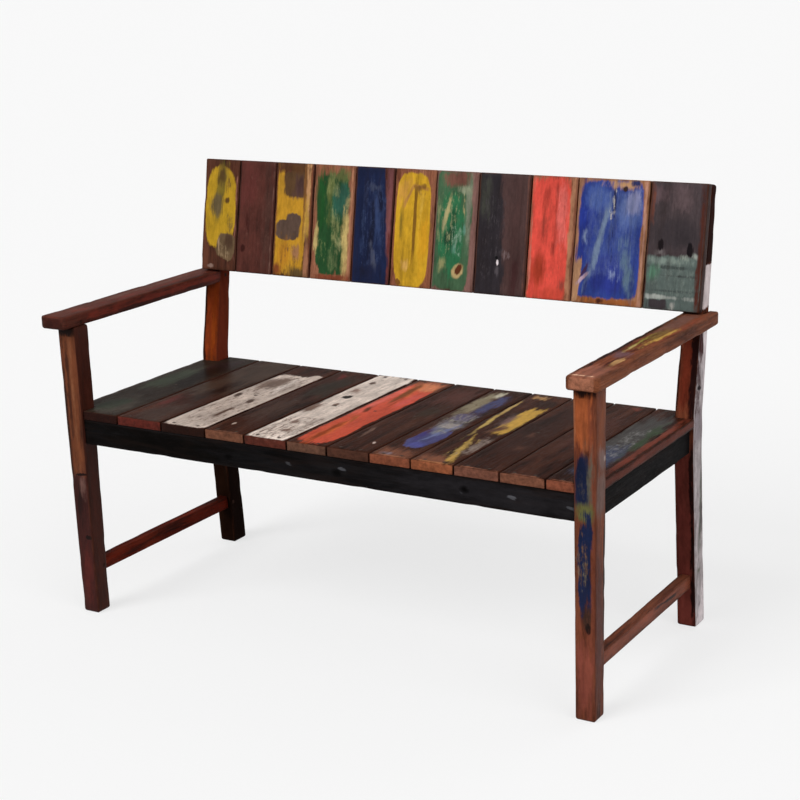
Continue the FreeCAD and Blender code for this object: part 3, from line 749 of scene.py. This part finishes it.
# %% Build the back boards
RAKE = math.radians(10.3)
KNEE, POST_DEPTH = 0.466, 0.046
BOARD_FOOT, BOARD_HEAD, BOARD_DEPTH = 0.19311, 0.44255, 0.02
BACK_STEP, BACK_ROUND = 0.007, 0.0022
UP_THE_BACK = (0, math.sin(RAKE), math.cos(RAKE))
OUT_OF_THE_BACK = (0, -math.cos(RAKE), math.sin(RAKE))
seat_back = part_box("seat_board_06")[1].y
BEND = (0, seat_back - POST_DEPTH, KNEE)
for number, (wood, coats) in back_coats.items():
    node = f"back_board_{number:02d}"
    low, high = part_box(node)
    timber(node, painted_timber(node, wood, coats, seed=number),
           (BEND, (1, 0, 0), OUT_OF_THE_BACK, UP_THE_BACK),
           stations(BOARD_FOOT, BOARD_HEAD, BACK_STEP, BACK_ROUND), (low.x, high.x), (0.0, BOARD_DEPTH),
           seed=93 + SEED_STEP * number)
print("back boards", len(back_coats))

# %% [markdown]
# ## The seat
# Twelve boards run from front to back, and each has a colour for the end grain that shows in front.
# The two outer ones are notched round the legs and posts. A Boolean modifier could cut the notches,
# but stepping the outer side in near both ends keeps the board one clean grid. A step is two
# stations a hair apart.

# %% Coats of the seat boards
# The strip at (0, 4) on a board is its front top arris, lighter as worn wood and partly as a painted
# highlight where the edge catches the light.
seat_coats = {}
seat_coats[1] = (40, 20, 17), [
    whole((45, 37, 30), soft=0.5, full=0.85),
    wash((68, 60, 52), (6, 80), (40, 70)),
    smear((58, 63, 50), (-24, 300), (30, 90), ragged=10, zone=16),
    haze((58, 62, 50), (-10, 70), (30, 50), ragged=10),
    smear((52, 36, 36), (14, 430), (26, 50), ragged=10, zone=14),
    smear((28, 20, 15), (20, 330), (22, 110), 6, ragged=10, zone=14)]
seat_coats[2] = (98, 42, 35), [
    wash((66, 50, 41), (0, 360), (56, 160), square=8, ragged=10),
    wash((66, 46, 38), (10, 60), (40, 70)),
    smear((92, 38, 32), (-30, 150), (12, 40)),
    haze((78, 36, 29), (-16, 96), (8, 22)),
    haze((36, 22, 17), (16, 250), (20, 90), ragged=10)]
seat_coats[3] = (38, 21, 17), [
    whole((199, 182, 170), (0, 212), (53, 212), zone=3, wear=0.04),
    mottle((132, 114, 104), (0, 212), (50, 206), square=8, soft=0.5, full=0.4),
    patch((180, 163, 152), (38, 425), (14, 20), wear=0.15),
    cloud((118, 97, 86), (-18, 354), (26, 46), wear=0),
    smear((204, 191, 182), (16, 340), (7, 60), 6),
    streak((76, 56, 48), (-37, 242), (6, 16), 12, wear=0, soft=0.25),
    streak((70, 50, 42), (17, 212), (6, 18), 5, wear=0, soft=0.25),
    streak((82, 60, 50), (14, 120), (5, 30), 3),
    specks((104, 83, 72), (0, 130), (50, 130), square=8),
    specks((98, 78, 68), (0, 330), (50, 90), square=8, wear=0.65)]
seat_coats[4] = (122, 79, 60), [
    haze((42, 32, 22), (10, 380), (30, 90), ragged=10),
    wash((64, 43, 34), (-4, 200), (30, 110), wear=0.25),
    smear((98, 33, 28), (-17, 462), (8, 25), 12),
    spot((176, 156, 144), (-16.5, 58), (3, 6), ragged=1),
    strip((116, 76, 58), (0, 4), (44, 4), wear=0.25)]
seat_coats[5] = (92, 46, 37), [
    whole((222, 206, 194), (0, 256), (48, 256), zone=3, wear=0.04),
    mottle((140, 122, 112), (0, 256), (47, 250), square=8, soft=0.5, full=0.4),
    mark((66, 48, 40), (-46, 240), (7, 40), wear=0),
    specks((114, 91, 80), (0, 80), (46, 90), square=6, wear=0.6),
    specks((122, 100, 89), (0, 340), (46, 180), square=6, wear=0.73),
    spot((88, 68, 58), (-25, 440), (6, 10), ragged=3),
    stain((140, 113, 102), (-24, 374), (11, 16)),
    spot((34, 22, 18), (-14, 322), (8, 13), ragged=3),
    stain((106, 82, 71), (-38, 222), (12, 28)),
    spot((112, 86, 75), (-4, 262), (5, 8), soft=0.3),
    smear((120, 96, 85), (-6, 120), (9, 14)),
    smear((114, 90, 79), (4, 64), (14, 9))]
seat_coats[6] = (108, 75, 60), [
    smear((142, 82, 58), (0, 480), (38, 24), wear=0.05),
    patch((194, 79, 56), (-1, 238), (38, 224), square=7),
    smear((204, 98, 84), (-30, 330), (8, 100)),
    haze((204, 88, 78), (22, 360), (12, 60), zone=9),
    haze((192, 116, 80), (8, 455), (28, 30), wear=0.05),
    smear((200, 106, 54), (-11, 415), (11, 60), 6, zone=8, full=0.7),
    smear((200, 100, 48), (-11, 105), (13, 84), 2, zone=8, full=0.7),
    stain((118, 64, 30), (-11, 398), (7.5, 66), 5, ragged=4, zone=5, soft=0.35),
    stain((142, 58, 22), (-13, 98), (7, 78), 3, ragged=4, zone=5, soft=0.35),
    streak((98, 44, 24), (-22, 262), (5, 16), 12),
    streak((144, 58, 33), (4, 330), (3, 60), 5, wear=0.2),
    smear((160, 82, 42), (-8, 185), (3, 22), 10, ragged=3)]
seat_coats[7] = (82, 52, 41), [
    haze((50, 34, 22), (10, 300), (20, 60), ragged=10),
    wash((78, 44, 36), (8, 420), (36, 80), wear=0.2),
    streak((106, 78, 66), (-27, 118), (4, 36), 8, ragged=4),
    spot((180, 160, 150), (21.5, 63), (3, 6), 20, ragged=1)]
seat_coats[8] = (140, 80, 57), [
    wash((124, 76, 56), (0, 14), (42, 40), zone=24),
    stain((136, 125, 101), (-20, 378), (17, 84)),
    smear((174, 166, 145), (-10, 468), (8, 18)),
    smear((68, 70, 106), (10, 378), (14, 68), wear=-0.05),
    smear((108, 104, 110), (4, 240), (25, 54), ragged=8, wear=0.05),
    smear((90, 82, 110), (0, 290), (24, 28), ragged=8),
    mottle((186, 176, 168), (6, 222), (20, 26), wear=0.42),
    stain((72, 71, 116), (6, 134), (29, 66), ragged=5, zone=3, soft=0.25),
    smear((106, 110, 124), (4, 182), (18, 24), ragged=8, wear=0.15),
    smear((106, 114, 152), (8, 150), (4, 56), -8),
    haze((60, 49, 108), (-14, 140), (8, 50)),
    smear((76, 77, 138), (4, 90), (20, 16)),
    specks((78, 46, 33), (0, 300), (40, 180), wear=0.71),
    specks((150, 144, 130), (0, 250), (34, 90)),
    mark((128, 114, 120), (-14, 16), (14, 8), wear=0.1),
    strip((150, 98, 72), (0, 4), (42, 4), wear=0.2)]
seat_coats[9] = (154, 90, 60), [
    smear((168, 128, 84), (-16, 483), (16, 14)),
    smear((44, 22, 12), (20, 440), (20, 26)),
    wash((120, 74, 54), (-8, 12), (36, 36), zone=24),
    mark((174, 144, 88), (-36, 372), (4, 66), 3, ragged=4),
    smear((180, 152, 86), (-27, 252), (4.5, 78), 5, ragged=4, wear=0.1),
    patch((194, 153, 69), (21, 314), (19, 96), zone=6, soft=0.2),
    stain((114, 87, 82), (0, 300), (10, 40), 4),
    smear((96, 63, 48), (8, 236), (10, 24), -20, wear=0.05),
    mark((184, 150, 72), (-7, 172), (4, 38), 10),
    smear((188, 154, 78), (8, 98), (6.5, 52), 9, wear=0.08),
    mark((184, 146, 74), (24, 38), (7, 34), 10, wear=0.1),
    specks((176, 146, 84), (10, 110), (20, 80), wear=0.63),
    mottle((140, 124, 114), (26, 120), (15, 64), wear=0.4),
    specks((24, 16, 12), (30, 140), (12, 60), wear=0.56),
    strip((164, 106, 70), (0, 4), (42, 4), wear=0.15)]
seat_coats[10] = (126, 81, 65), [
    wash((52, 27, 19), (0, 260), (40, 230), wear=0.3),
    haze((92, 60, 48), (-6, 240), (8, 20)),
    smear((84, 53, 41), (16, 150), (8, 16), wear=0.25),
    haze((38, 20, 14), (-18, 330), (14, 110), zone=10),
    strip((128, 82, 62), (0, 4), (42, 4), wear=0.25)]
seat_coats[11] = (128, 82, 63), [
    smear((110, 56, 45), (8, 486), (12, 12)),
    wash((72, 39, 31), (0, 300), (34, 130), wear=0.25),
    strip((130, 84, 64), (0, 4), (42, 4), wear=0.25)]
seat_coats[12] = (140, 80, 59), [
    cloud((68, 65, 63), (-8, 280), (34, 180), ragged=8, wear=0.05),
    smear((60, 64, 86), (-2, 150), (26, 90), ragged=8),
    smear((56, 68, 48), (20, 290), (12, 90), ragged=8),
    specks((140, 138, 136), (-4, 250), (24, 140), wear=0.6, full=0.6),
    band((112, 54, 40), (41, 250), (7, 220)),
    strip((132, 82, 60), (0, 4), (42, 4), wear=0.25),
    *on_the_right(whole((96, 44, 32)))]
print("coats on the seat", sum(len(coats) for _, coats in seat_coats.values()))

# %% Build the seat boards
HAIR, CLEARANCE, STEP, SEAT_ROUND = 0.0003, 0.001, 0.008, 0.002
# An origin, then the ways across, out of the face that shows and along
LYING = ((0, 0, 0), (1, 0, 0), (0, 0, 1), (0, 1, 0))
# The outer boards: which of a station's two sides is the outer one, and its sign in X
OUTER_SIDES = {1: (0, -1), 12: (1, 1)}
leg_low, leg_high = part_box("front_leg_right")
post_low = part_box("rear_post_right")[0]
front_step, rear_step = leg_high.y + CLEARANCE, BEND[1] - CLEARANCE
notch_steps = (front_step, front_step + HAIR, rear_step - HAIR, rear_step)
for number, (end, coats) in seat_coats.items():
    node = f"seat_board_{number:02d}"
    low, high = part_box(node)
    rings = stations(low.y, high.y, STEP, SEAT_ROUND, notch_steps if number in OUTER_SIDES else ())
    sides = np.tile([low.x, high.x], (len(rings[0]), 1))
    if number in OUTER_SIDES:
        outer, sign = OUTER_SIDES[number]
        sides[rings[0] <= front_step, outer] = sign * (leg_low.x - CLEARANCE)
        sides[rings[0] >= rear_step, outer] = sign * (post_low.x - CLEARANCE)
    timber(node, painted_timber(node, BROWN, coats, number + 20, end, sheen=0.02, gloss=0.75),
           LYING, rings, sides, (low.z, high.z), seed=293 + SEED_STEP * number)
print("seat boards", len(seat_coats))

# %% [markdown]
# ## Legs and posts
# The front legs taper to the foot. The rear posts bend twice: a bend turns a straight line's slope
# over a short length, so the line follows a parabola there. A Simple Deform modifier could bend a
# straight post, but a post also thins towards its top, so its front and its back are two lines, each
# with its own slope. Legs and posts carry remains of boat paint, with bare red wood between.

# %% Front legs
leg_coats = {}
leg_coats["front_leg_right"] = [
    stain((163, 86, 49), (-4, 575), (17, 64), square=6, zone=5),
    band((118, 63, 45), (14, 330), (6, 320), wear=0.15),
    streak((128, 66, 42), (9, 570), (3, 60), wear=0.3),
    smear((178, 112, 78), (-19, 570), (2.4, 60), ragged=2),
    stain((88, 83, 72), (6, 455), (8, 46)),
    patch((20, 28, 54), (-6, 460), (12, 45), zone=4),
    specks((84, 76, 66), (-4, 450), (14, 44), full=0.6),
    stain((96, 95, 55), (0, 397), (13, 15)),
    specks((126, 106, 92), (-10, 300), (10, 84), wear=0.41),
    band((22, 32, 62), (0, 300), (13, 84), square=5, soft=0.2),
    specks((100, 74, 56), (-4, 300), (14, 80), wear=0.54),
    specks((128, 116, 90), (2, 290), (12, 70), wear=0.7, full=0.7),
    stain((56, 36, 28), (4, 196), (8, 22)),
    spot((26, 16, 13), (5, 181), (4, 7)),
    smear((126, 65, 53), (0, 80), (18, 90), zone=10, full=0.85),
    # Painted shadow: a dark band across the top of the leg, under the overhanging arm.
    smear((40, 16, 9), (0, 628), (26, 13), ragged=3, wear=-0.3),
    *on_the_right(
        smear((120, 64, 38), (-24, 560), (18, 50), zone=10),
        stain((112, 84, 76), (-22, 430), (18, 38), zone=10),
        smear((120, 94, 88), (-26, 492), (14, 20)),
        cloud((88, 50, 43), (-18, 200), (20, 150)),
        smear((176, 158, 152), (-38, 494), (3.5, 5), ragged=2),
        strip((44, 36, 32), (-40, 270), (5, 110)))]
leg_coats["front_leg_left"] = [
    stain((110, 61, 38), (2, 470), (18, 165), square=6),
    streak((128, 79, 53), (4, 460), (4, 140), wear=0.2),
    streak((52, 28, 20), (17, 405), (5, 34), wear=0.1),
    haze((66, 34, 22), (-6, 480), (4, 130), ragged=4),
    band((42, 24, 16), (-18, 330), (5, 320), wear=0.1),
    patch((60, 28, 25), (0, 150), (24, 158), square=8, soft=0.25),
    smear((40, 19, 17), (-4, 250), (14, 50), zone=10),
    mark((80, 33, 29), (2, 90), (14, 60), ragged=6, zone=10),
    smear((102, 72, 65), (8, 285), (8, 24)),
    spot((26, 10, 7), (8, 311), (13, 2.2), 6),
    spot((22, 10, 8), (13, 171), (6, 3)),
    # Painted shadow: a dark band across the top of the leg, under the overhanging arm.
    smear((32, 14, 9), (0, 628), (26, 13), ragged=3, wear=-0.3),
    # Painted shade: the whole inner (right) side is darker than the front, as the side turned from the light.
    *on_the_right(whole((62, 28, 20)))]
STANDING = ((0, 0, 0), (1, 0, 0), (0, -1, 0), (0, 0, 1))
LEG_FOOT, FOOT_ROUND = 0.0395, 0.005


def pairs(low, high):
    """The low and high side at each station, from numbers or whole arrays."""
    return np.stack(np.broadcast_arrays(low, high), -1)


leg_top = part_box("armrest_right")[0].z
for number, (node, coats) in enumerate(leg_coats.items()):
    low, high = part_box(node)
    rings = stations(0.0, leg_top, STEP, FOOT_ROUND)
    width = LEG_FOOT + (high.x - low.x - LEG_FOOT) * rings[0] / leg_top
    sides = pairs(low.x, low.x + width) if low.x > 0 else pairs(high.x - width, high.x)
    timber(node, painted_timber(node, RED, coats, seed=41 + number, keep=-1.0, rim=0.1),
           STANDING, rings, sides, pairs(-high.y, width - high.y), 500 + SEED_STEP * number,
           radius=0.003, flats=(6, 6))
print("leg top at", round(leg_top, 3))

# %% Rear posts
def bend(z, at, change, reach):
    """How far a line has moved sideways by the height z, when its slope changes at a height: the change
    times reach t2 while t goes from 0 to 1 over the bend, and straight on after it."""
    t = np.clip((z - at + reach) / (2 * reach), 0, 1)
    return change * (reach * t * t + np.maximum(0, z - at - reach))


post_coats = {}
post_coats["rear_post_right"] = [
    patch((109, 51, 44), (-2, 180), (24, 200), square=8, wear=-0.05),
    band((34, 17, 16), (15, 180), (5, 200)),
    stain((100, 41, 27), (-3, 540), (12, 84), ragged=3),
    strip((36, 17, 16), (13, 530), (8, 94)),
    strip((46, 18, 13), (-18, 530), (3, 90), wear=0.15),
    *on_the_right(
        whole((238, 226, 228), (-40, 308), (70, 320), ragged=5, zone=3, wear=-0.05, soft=0.2),
        patch((228, 214, 214), (-45, 705), (60, 42), square=9, ragged=5),
        smear((176, 167, 168), (-30, 300), (40, 300), wear=0.3),
        cloud((150, 140, 144), (-24, 430), (22, 34)),
        stain((112, 116, 108), (-42, 275), (6.5, 95), ragged=4),
        smear((70, 66, 66), (-46, 236), (3, 30), ragged=3),
        specks((84, 60, 62), (-14, 500), (18, 80), wear=0.41),
        mottle((150, 136, 138), (-36, 300), (50, 300), square=8, wear=0.52, full=0.35),
        specks((96, 80, 80), (-36, 280), (50, 280), wear=0.73),
        spot((36, 30, 32), (-24, 508), (8, 4), 10),
        smear((116, 116, 104), (-38, 122), (12, 7), -12),
        stain((70, 44, 45), (-26, 604), (14, 36), -14, square=5, zone=6),
        smear((86, 66, 68), (-20, 540), (8, 26), -14, wear=0.1),
        whole((38, 14, 10), (-70, 860), (90, 110), ragged=5, zone=3, wear=-0.1))]
post_coats["rear_post_left"] = [
    smear((134, 55, 24), (2, 545), (20, 105), square=6, wear=-0.05),
    haze((144, 64, 22), (8, 520), (8, 80)),
    band((46, 19, 12), (-17, 540), (4, 110), wear=0.1),
    *on_the_right(smear((104, 42, 26), (-30, 560), (40, 130), square=6, wear=-0.1)),
    # Near black over the lower part of the post, below the seat, on the front and on the right side.
    whole((27, 13, 7), (0, 180), (60, 212), zone=3, wear=-0.2),
    *on_the_right(whole((24, 11, 7), (-20, 190), (90, 205), zone=3, wear=-0.2))]
KICK, LEAN, THIN = math.tan(math.radians(4.4)), math.tan(RAKE), 0.12928
HEEL, HEEL_REACH, KNEE_REACH, POST_TOP = 0.362, 0.006, 0.0135, 0.8993
SLANT_FROM, SLANT_OVER = 0.84, 0.058
for number, (node, coats) in enumerate(post_coats.items()):
    low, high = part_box(node)
    rings = stations(0.0, POST_TOP, STEP, FOOT_ROUND)
    z = rings[0]
    foot = -KICK * (z - HEEL) + bend(z, HEEL, KICK, HEEL_REACH)
    front = BEND[1] + foot + bend(z, KNEE, LEAN, KNEE_REACH)
    back = seat_back + foot + bend(z, KNEE, THIN, KNEE_REACH)
    slant = LEAN * np.clip((z - SLANT_FROM) / SLANT_OVER, 0, 1)
    timber(node, painted_timber(node, RED, coats, seed=43 + number, keep=-2.0, rim=0.08, sheen=0.005),
           STANDING, rings, (low.x, high.x), pairs(-back, -front), 520 + SEED_STEP * number,
           radius=0.0025, skew=slant, flats=(6, 6))

# %% [markdown]
# ## Arms
# An arm is a flat plank with round corners. A Bevel modifier would round its notch as well, so near
# an end the sides draw in along a circle instead: r minus the root of r2 - (r - d)2 at a distance d.
# At the back the arm is notched round the post: the inner side jumps outwards, and only a tongue
# runs on past the post.

# %% Arms
def corner(distance, radius):
    """How far a side is drawn in at a distance from an end whose corner has this radius."""
    rest = np.clip(radius - distance, 0, radius)
    return radius - np.sqrt(radius * radius - rest * rest)


PLANK = ((74, 36, 22), (122, 67, 43), (148, 89, 61))
arm_coats = {}
arm_coats["armrest_right"] = PLANK, (172, 112, 86), [
    cloud((146, 92, 72), (0, 40), (30, 50)),
    cloud((112, 76, 65), (-8, 440), (20, 90)),
    haze((124, 64, 45), (20, 420), (10, 110)),
    smear((112, 78, 78), (-4, 172), (16, 24)),
    streak((190, 146, 94), (11, 108), (5, 34), -2, ragged=4),
    smear((120, 92, 46), (2, 340), (14, 64), ragged=8, wear=0.25, full=0.8),
    mark((150, 132, 62), (-11, 268), (4, 66), 2, ragged=4, soft=0.35),
    mark((182, 160, 104), (-9, 240), (2.4, 30), 3, ragged=3),
    mark((174, 136, 68), (11, 338), (4, 56), -3, soft=0.35),
    specks((150, 124, 60), (0, 280), (16, 100)),
    # Painted highlight: a pale line across the top, just behind the front end.
    streak((210, 166, 136), (-6, 12), (18, 3), wear=0.1),
    # Painted shade: a dark band along the inner top edge of the arm.
    band((48, 31, 20), (-27, 280), (6, 250))]
arm_coats["armrest_left"] = MAROON, (64, 29, 23), [
    whole((90, 45, 35), soft=0.5),
    haze((106, 69, 60), (-6, 300), (8, 200)),
    haze((104, 42, 31), (14, 240), (9, 200)),
    smear((62, 30, 23), (25, 420), (7, 160), square=6),
    *on_the_right(
        smear((102, 40, 30), (-13, 300), (12, 270), square=6),
        smear((52, 22, 18), (-20, 330), (4, 220), ragged=3))]
FRONT_CORNER, REAR_CORNER, END_ROUND, NOTCH_BLEND = 0.009, 0.008, 0.0055, 0.004
arm_low, arm_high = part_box("armrest_right")
tongue = arm_high.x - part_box("rear_post_right")[1].x
notch_face = BEND[1] + LEAN * ((arm_low.z + arm_high.z) / 2 - BEND[2])
for number, (node, (wood, end, coats)) in enumerate(arm_coats.items()):
    low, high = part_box(node)
    rings = stations(low.y, high.y, STEP, END_ROUND, (notch_face, notch_face + HAIR))
    from_front, from_back = rings[0] - low.y, high.y - rings[0]
    inner = corner(from_front, FRONT_CORNER)
    outer = inner + corner(from_back, REAR_CORNER)
    inner = np.where(rings[0] > notch_face, high.x - low.x - tongue, inner)
    sides = pairs(low.x + inner, high.x - outer) if low.x > 0 else pairs(low.x + outer, high.x - inner)
    lean = LEAN * np.exp(-((rings[0] - notch_face) / NOTCH_BLEND) ** 2)
    timber(node, painted_timber(node, wood, coats, 45 + number, end, keep=-2.0, sheen=0.04),
           LYING, rings, sides, (low.z, high.z), 540 + SEED_STEP * number,
           radius=0.005, skew=lean, flats=(8, 4))

# %% [markdown]
# ## Aprons, rails and stretchers
# These are plain sawn pieces, so one short function makes them all. The aprons at the front and
# sides are black with old paint, and the front one has scuffs and nail holes; the pieces behind and
# below are bare. A piece could stop at its shoulder, but rubbed ends would leave a gap there, so each
# runs a little way into what carries it, as its tenon does.

# %% Front apron and the rails under the seat
RAIL_STEP, RAIL_ROUND, BLACK_SHEEN = 0.01, 0.002, 0.012


def rail(node, look, axes, ends, across, depth, seed, paint_seed):
    """A straight sawn piece from one end to the other, with the look given for it."""
    timber(node, painted_timber(node, seed=paint_seed, **look), axes, stations(*ends, RAIL_STEP, RAIL_ROUND),
           across, depth, seed, flats=(6, 3))


black = dict(wood=INK, sheen=BLACK_SHEEN)
scuffs = [mark((76, 76, 80), (a, l), (2.6, 7), 12, wear=0.3, soft=0.3)
          for a, l in ((-1, 512), (-4, 892), (1, 996), (-2, 1112), (4, 640))]
holes = [spot((8, 7, 7), (a, l), (5, 8), soft=0.5) for a, l in ((-6, 368), (-4, 624), (2, 900))]
apron_coats = [
    smear((31, 29, 31), (0, 980), (40, 240), ragged=9, zone=30),
    smear((10, 8, 7), (0, 200), (40, 190), ragged=9, zone=30), *scuffs, *holes]
for number, (node, reach, look) in enumerate((
        ("front_apron", 0.562, dict(black, coats=apron_coats)), ("rear_apron", 0.562, dict(wood=MAROON)),
        ("seat_middle_rail", 0.572, dict(wood=MAROON)))):
    low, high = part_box(node)
    rail(node, look, ((0, 0, 0), (0, 0, 1), (0, -1, 0), (1, 0, 0)), (-reach, reach),
         (low.z, high.z), (-high.y, -low.y), 560 + SEED_STEP * number, 51 + number)
print("coats on the front apron", len(apron_coats))

# %% Side aprons and stretchers
SHOULDER = 0.012
side_looks = {
    "side_apron_right": black,
    "side_apron_left": black,
    "stretcher_right": dict(wood=RED, coats=[
        stain((126, 67, 48), (2, 220), (12, 230), square=6),
        streak((36, 19, 16), (4, 330), (3, 44), 4, wear=0)]),
    "stretcher_left": dict(wood=((52, 14, 7), (98, 28, 15), (124, 47, 29)), sheen=0.02),
}
for number, (node, look) in enumerate(side_looks.items()):
    low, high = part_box(node)
    outward = 1 if low.x > 0 else -1
    rail(node, look, ((0, 0, 0), (0, 0, 1), (outward, 0, 0), (0, 1, 0)),
         (low.y + SHOULDER, high.y - SHOULDER), (low.z, high.z),
         sorted((outward * low.x, outward * high.x)), 580 + SEED_STEP * number, 55 + number)
print("side pieces", sorted(side_looks))

# %% Rails behind the back
RAIL_HEIGHT, RAIL_DEPTH, BACK_REACH = 0.04989, 0.018, 0.561
for number, (node, foot) in enumerate((("back_bottom_rail", 0.20711), ("back_top_rail", 0.37866))):
    rail(node, dict(wood=MAROON), (BEND, UP_THE_BACK, OUT_OF_THE_BACK, (1, 0, 0)), (-BACK_REACH, BACK_REACH),
         (foot, foot + RAIL_HEIGHT), (-RAIL_DEPTH, 0.0), 610 + SEED_STEP * number, 61 + number)

# %% [markdown]
# ## Nails and pins
# The nails' flat heads and the ends of the wooden pins are small and already have the right shape,
# so the CAD nodes stay. They get iron with rust, and end grain. These nodes have no grain
# attribute, so the noise reads Object coordinates.

# %% Nails and pins
def small_material(name, dark, light, metal, rough, sheen):
    """A speckled finish in two colours, for pieces a few millimetres across."""
    material, shader = new_material(name)
    speck = noise(put("TexCoord").outputs["Object"], 700, 4, 0.65)
    link(mix(ramp(speck, 0.35, 0.65), shade(*dark), shade(*light)), shader["Base Color"])
    link(ramp(speck, 0.3, 0.7, rough - 0.12, rough + 0.12), shader["Roughness"])
    link(put("Bump", {"Strength": 0.5, "Distance": 0.0006, "Height": speck}).outputs[0], shader["Normal"])
    shader["Metallic"].default_value = metal
    shader["Specular IOR Level"].default_value = sheen
    return material


finishes = {
    "seat_nails": small_material("nail_iron", (38, 30, 27), (88, 70, 60), 0.6, 0.6, 0.5),
    "frame_pins": small_material("pin_end_grain", (30, 16, 12), (60, 33, 25), 0.0, 0.65, 0.05),
}
finishes["back_nails"] = finishes["seat_nails"]
for node, finish in finishes.items():
    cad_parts[node].data.materials.clear()
    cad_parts[node].data.materials.append(finish)
print("CAD nodes kept", sorted(finishes))
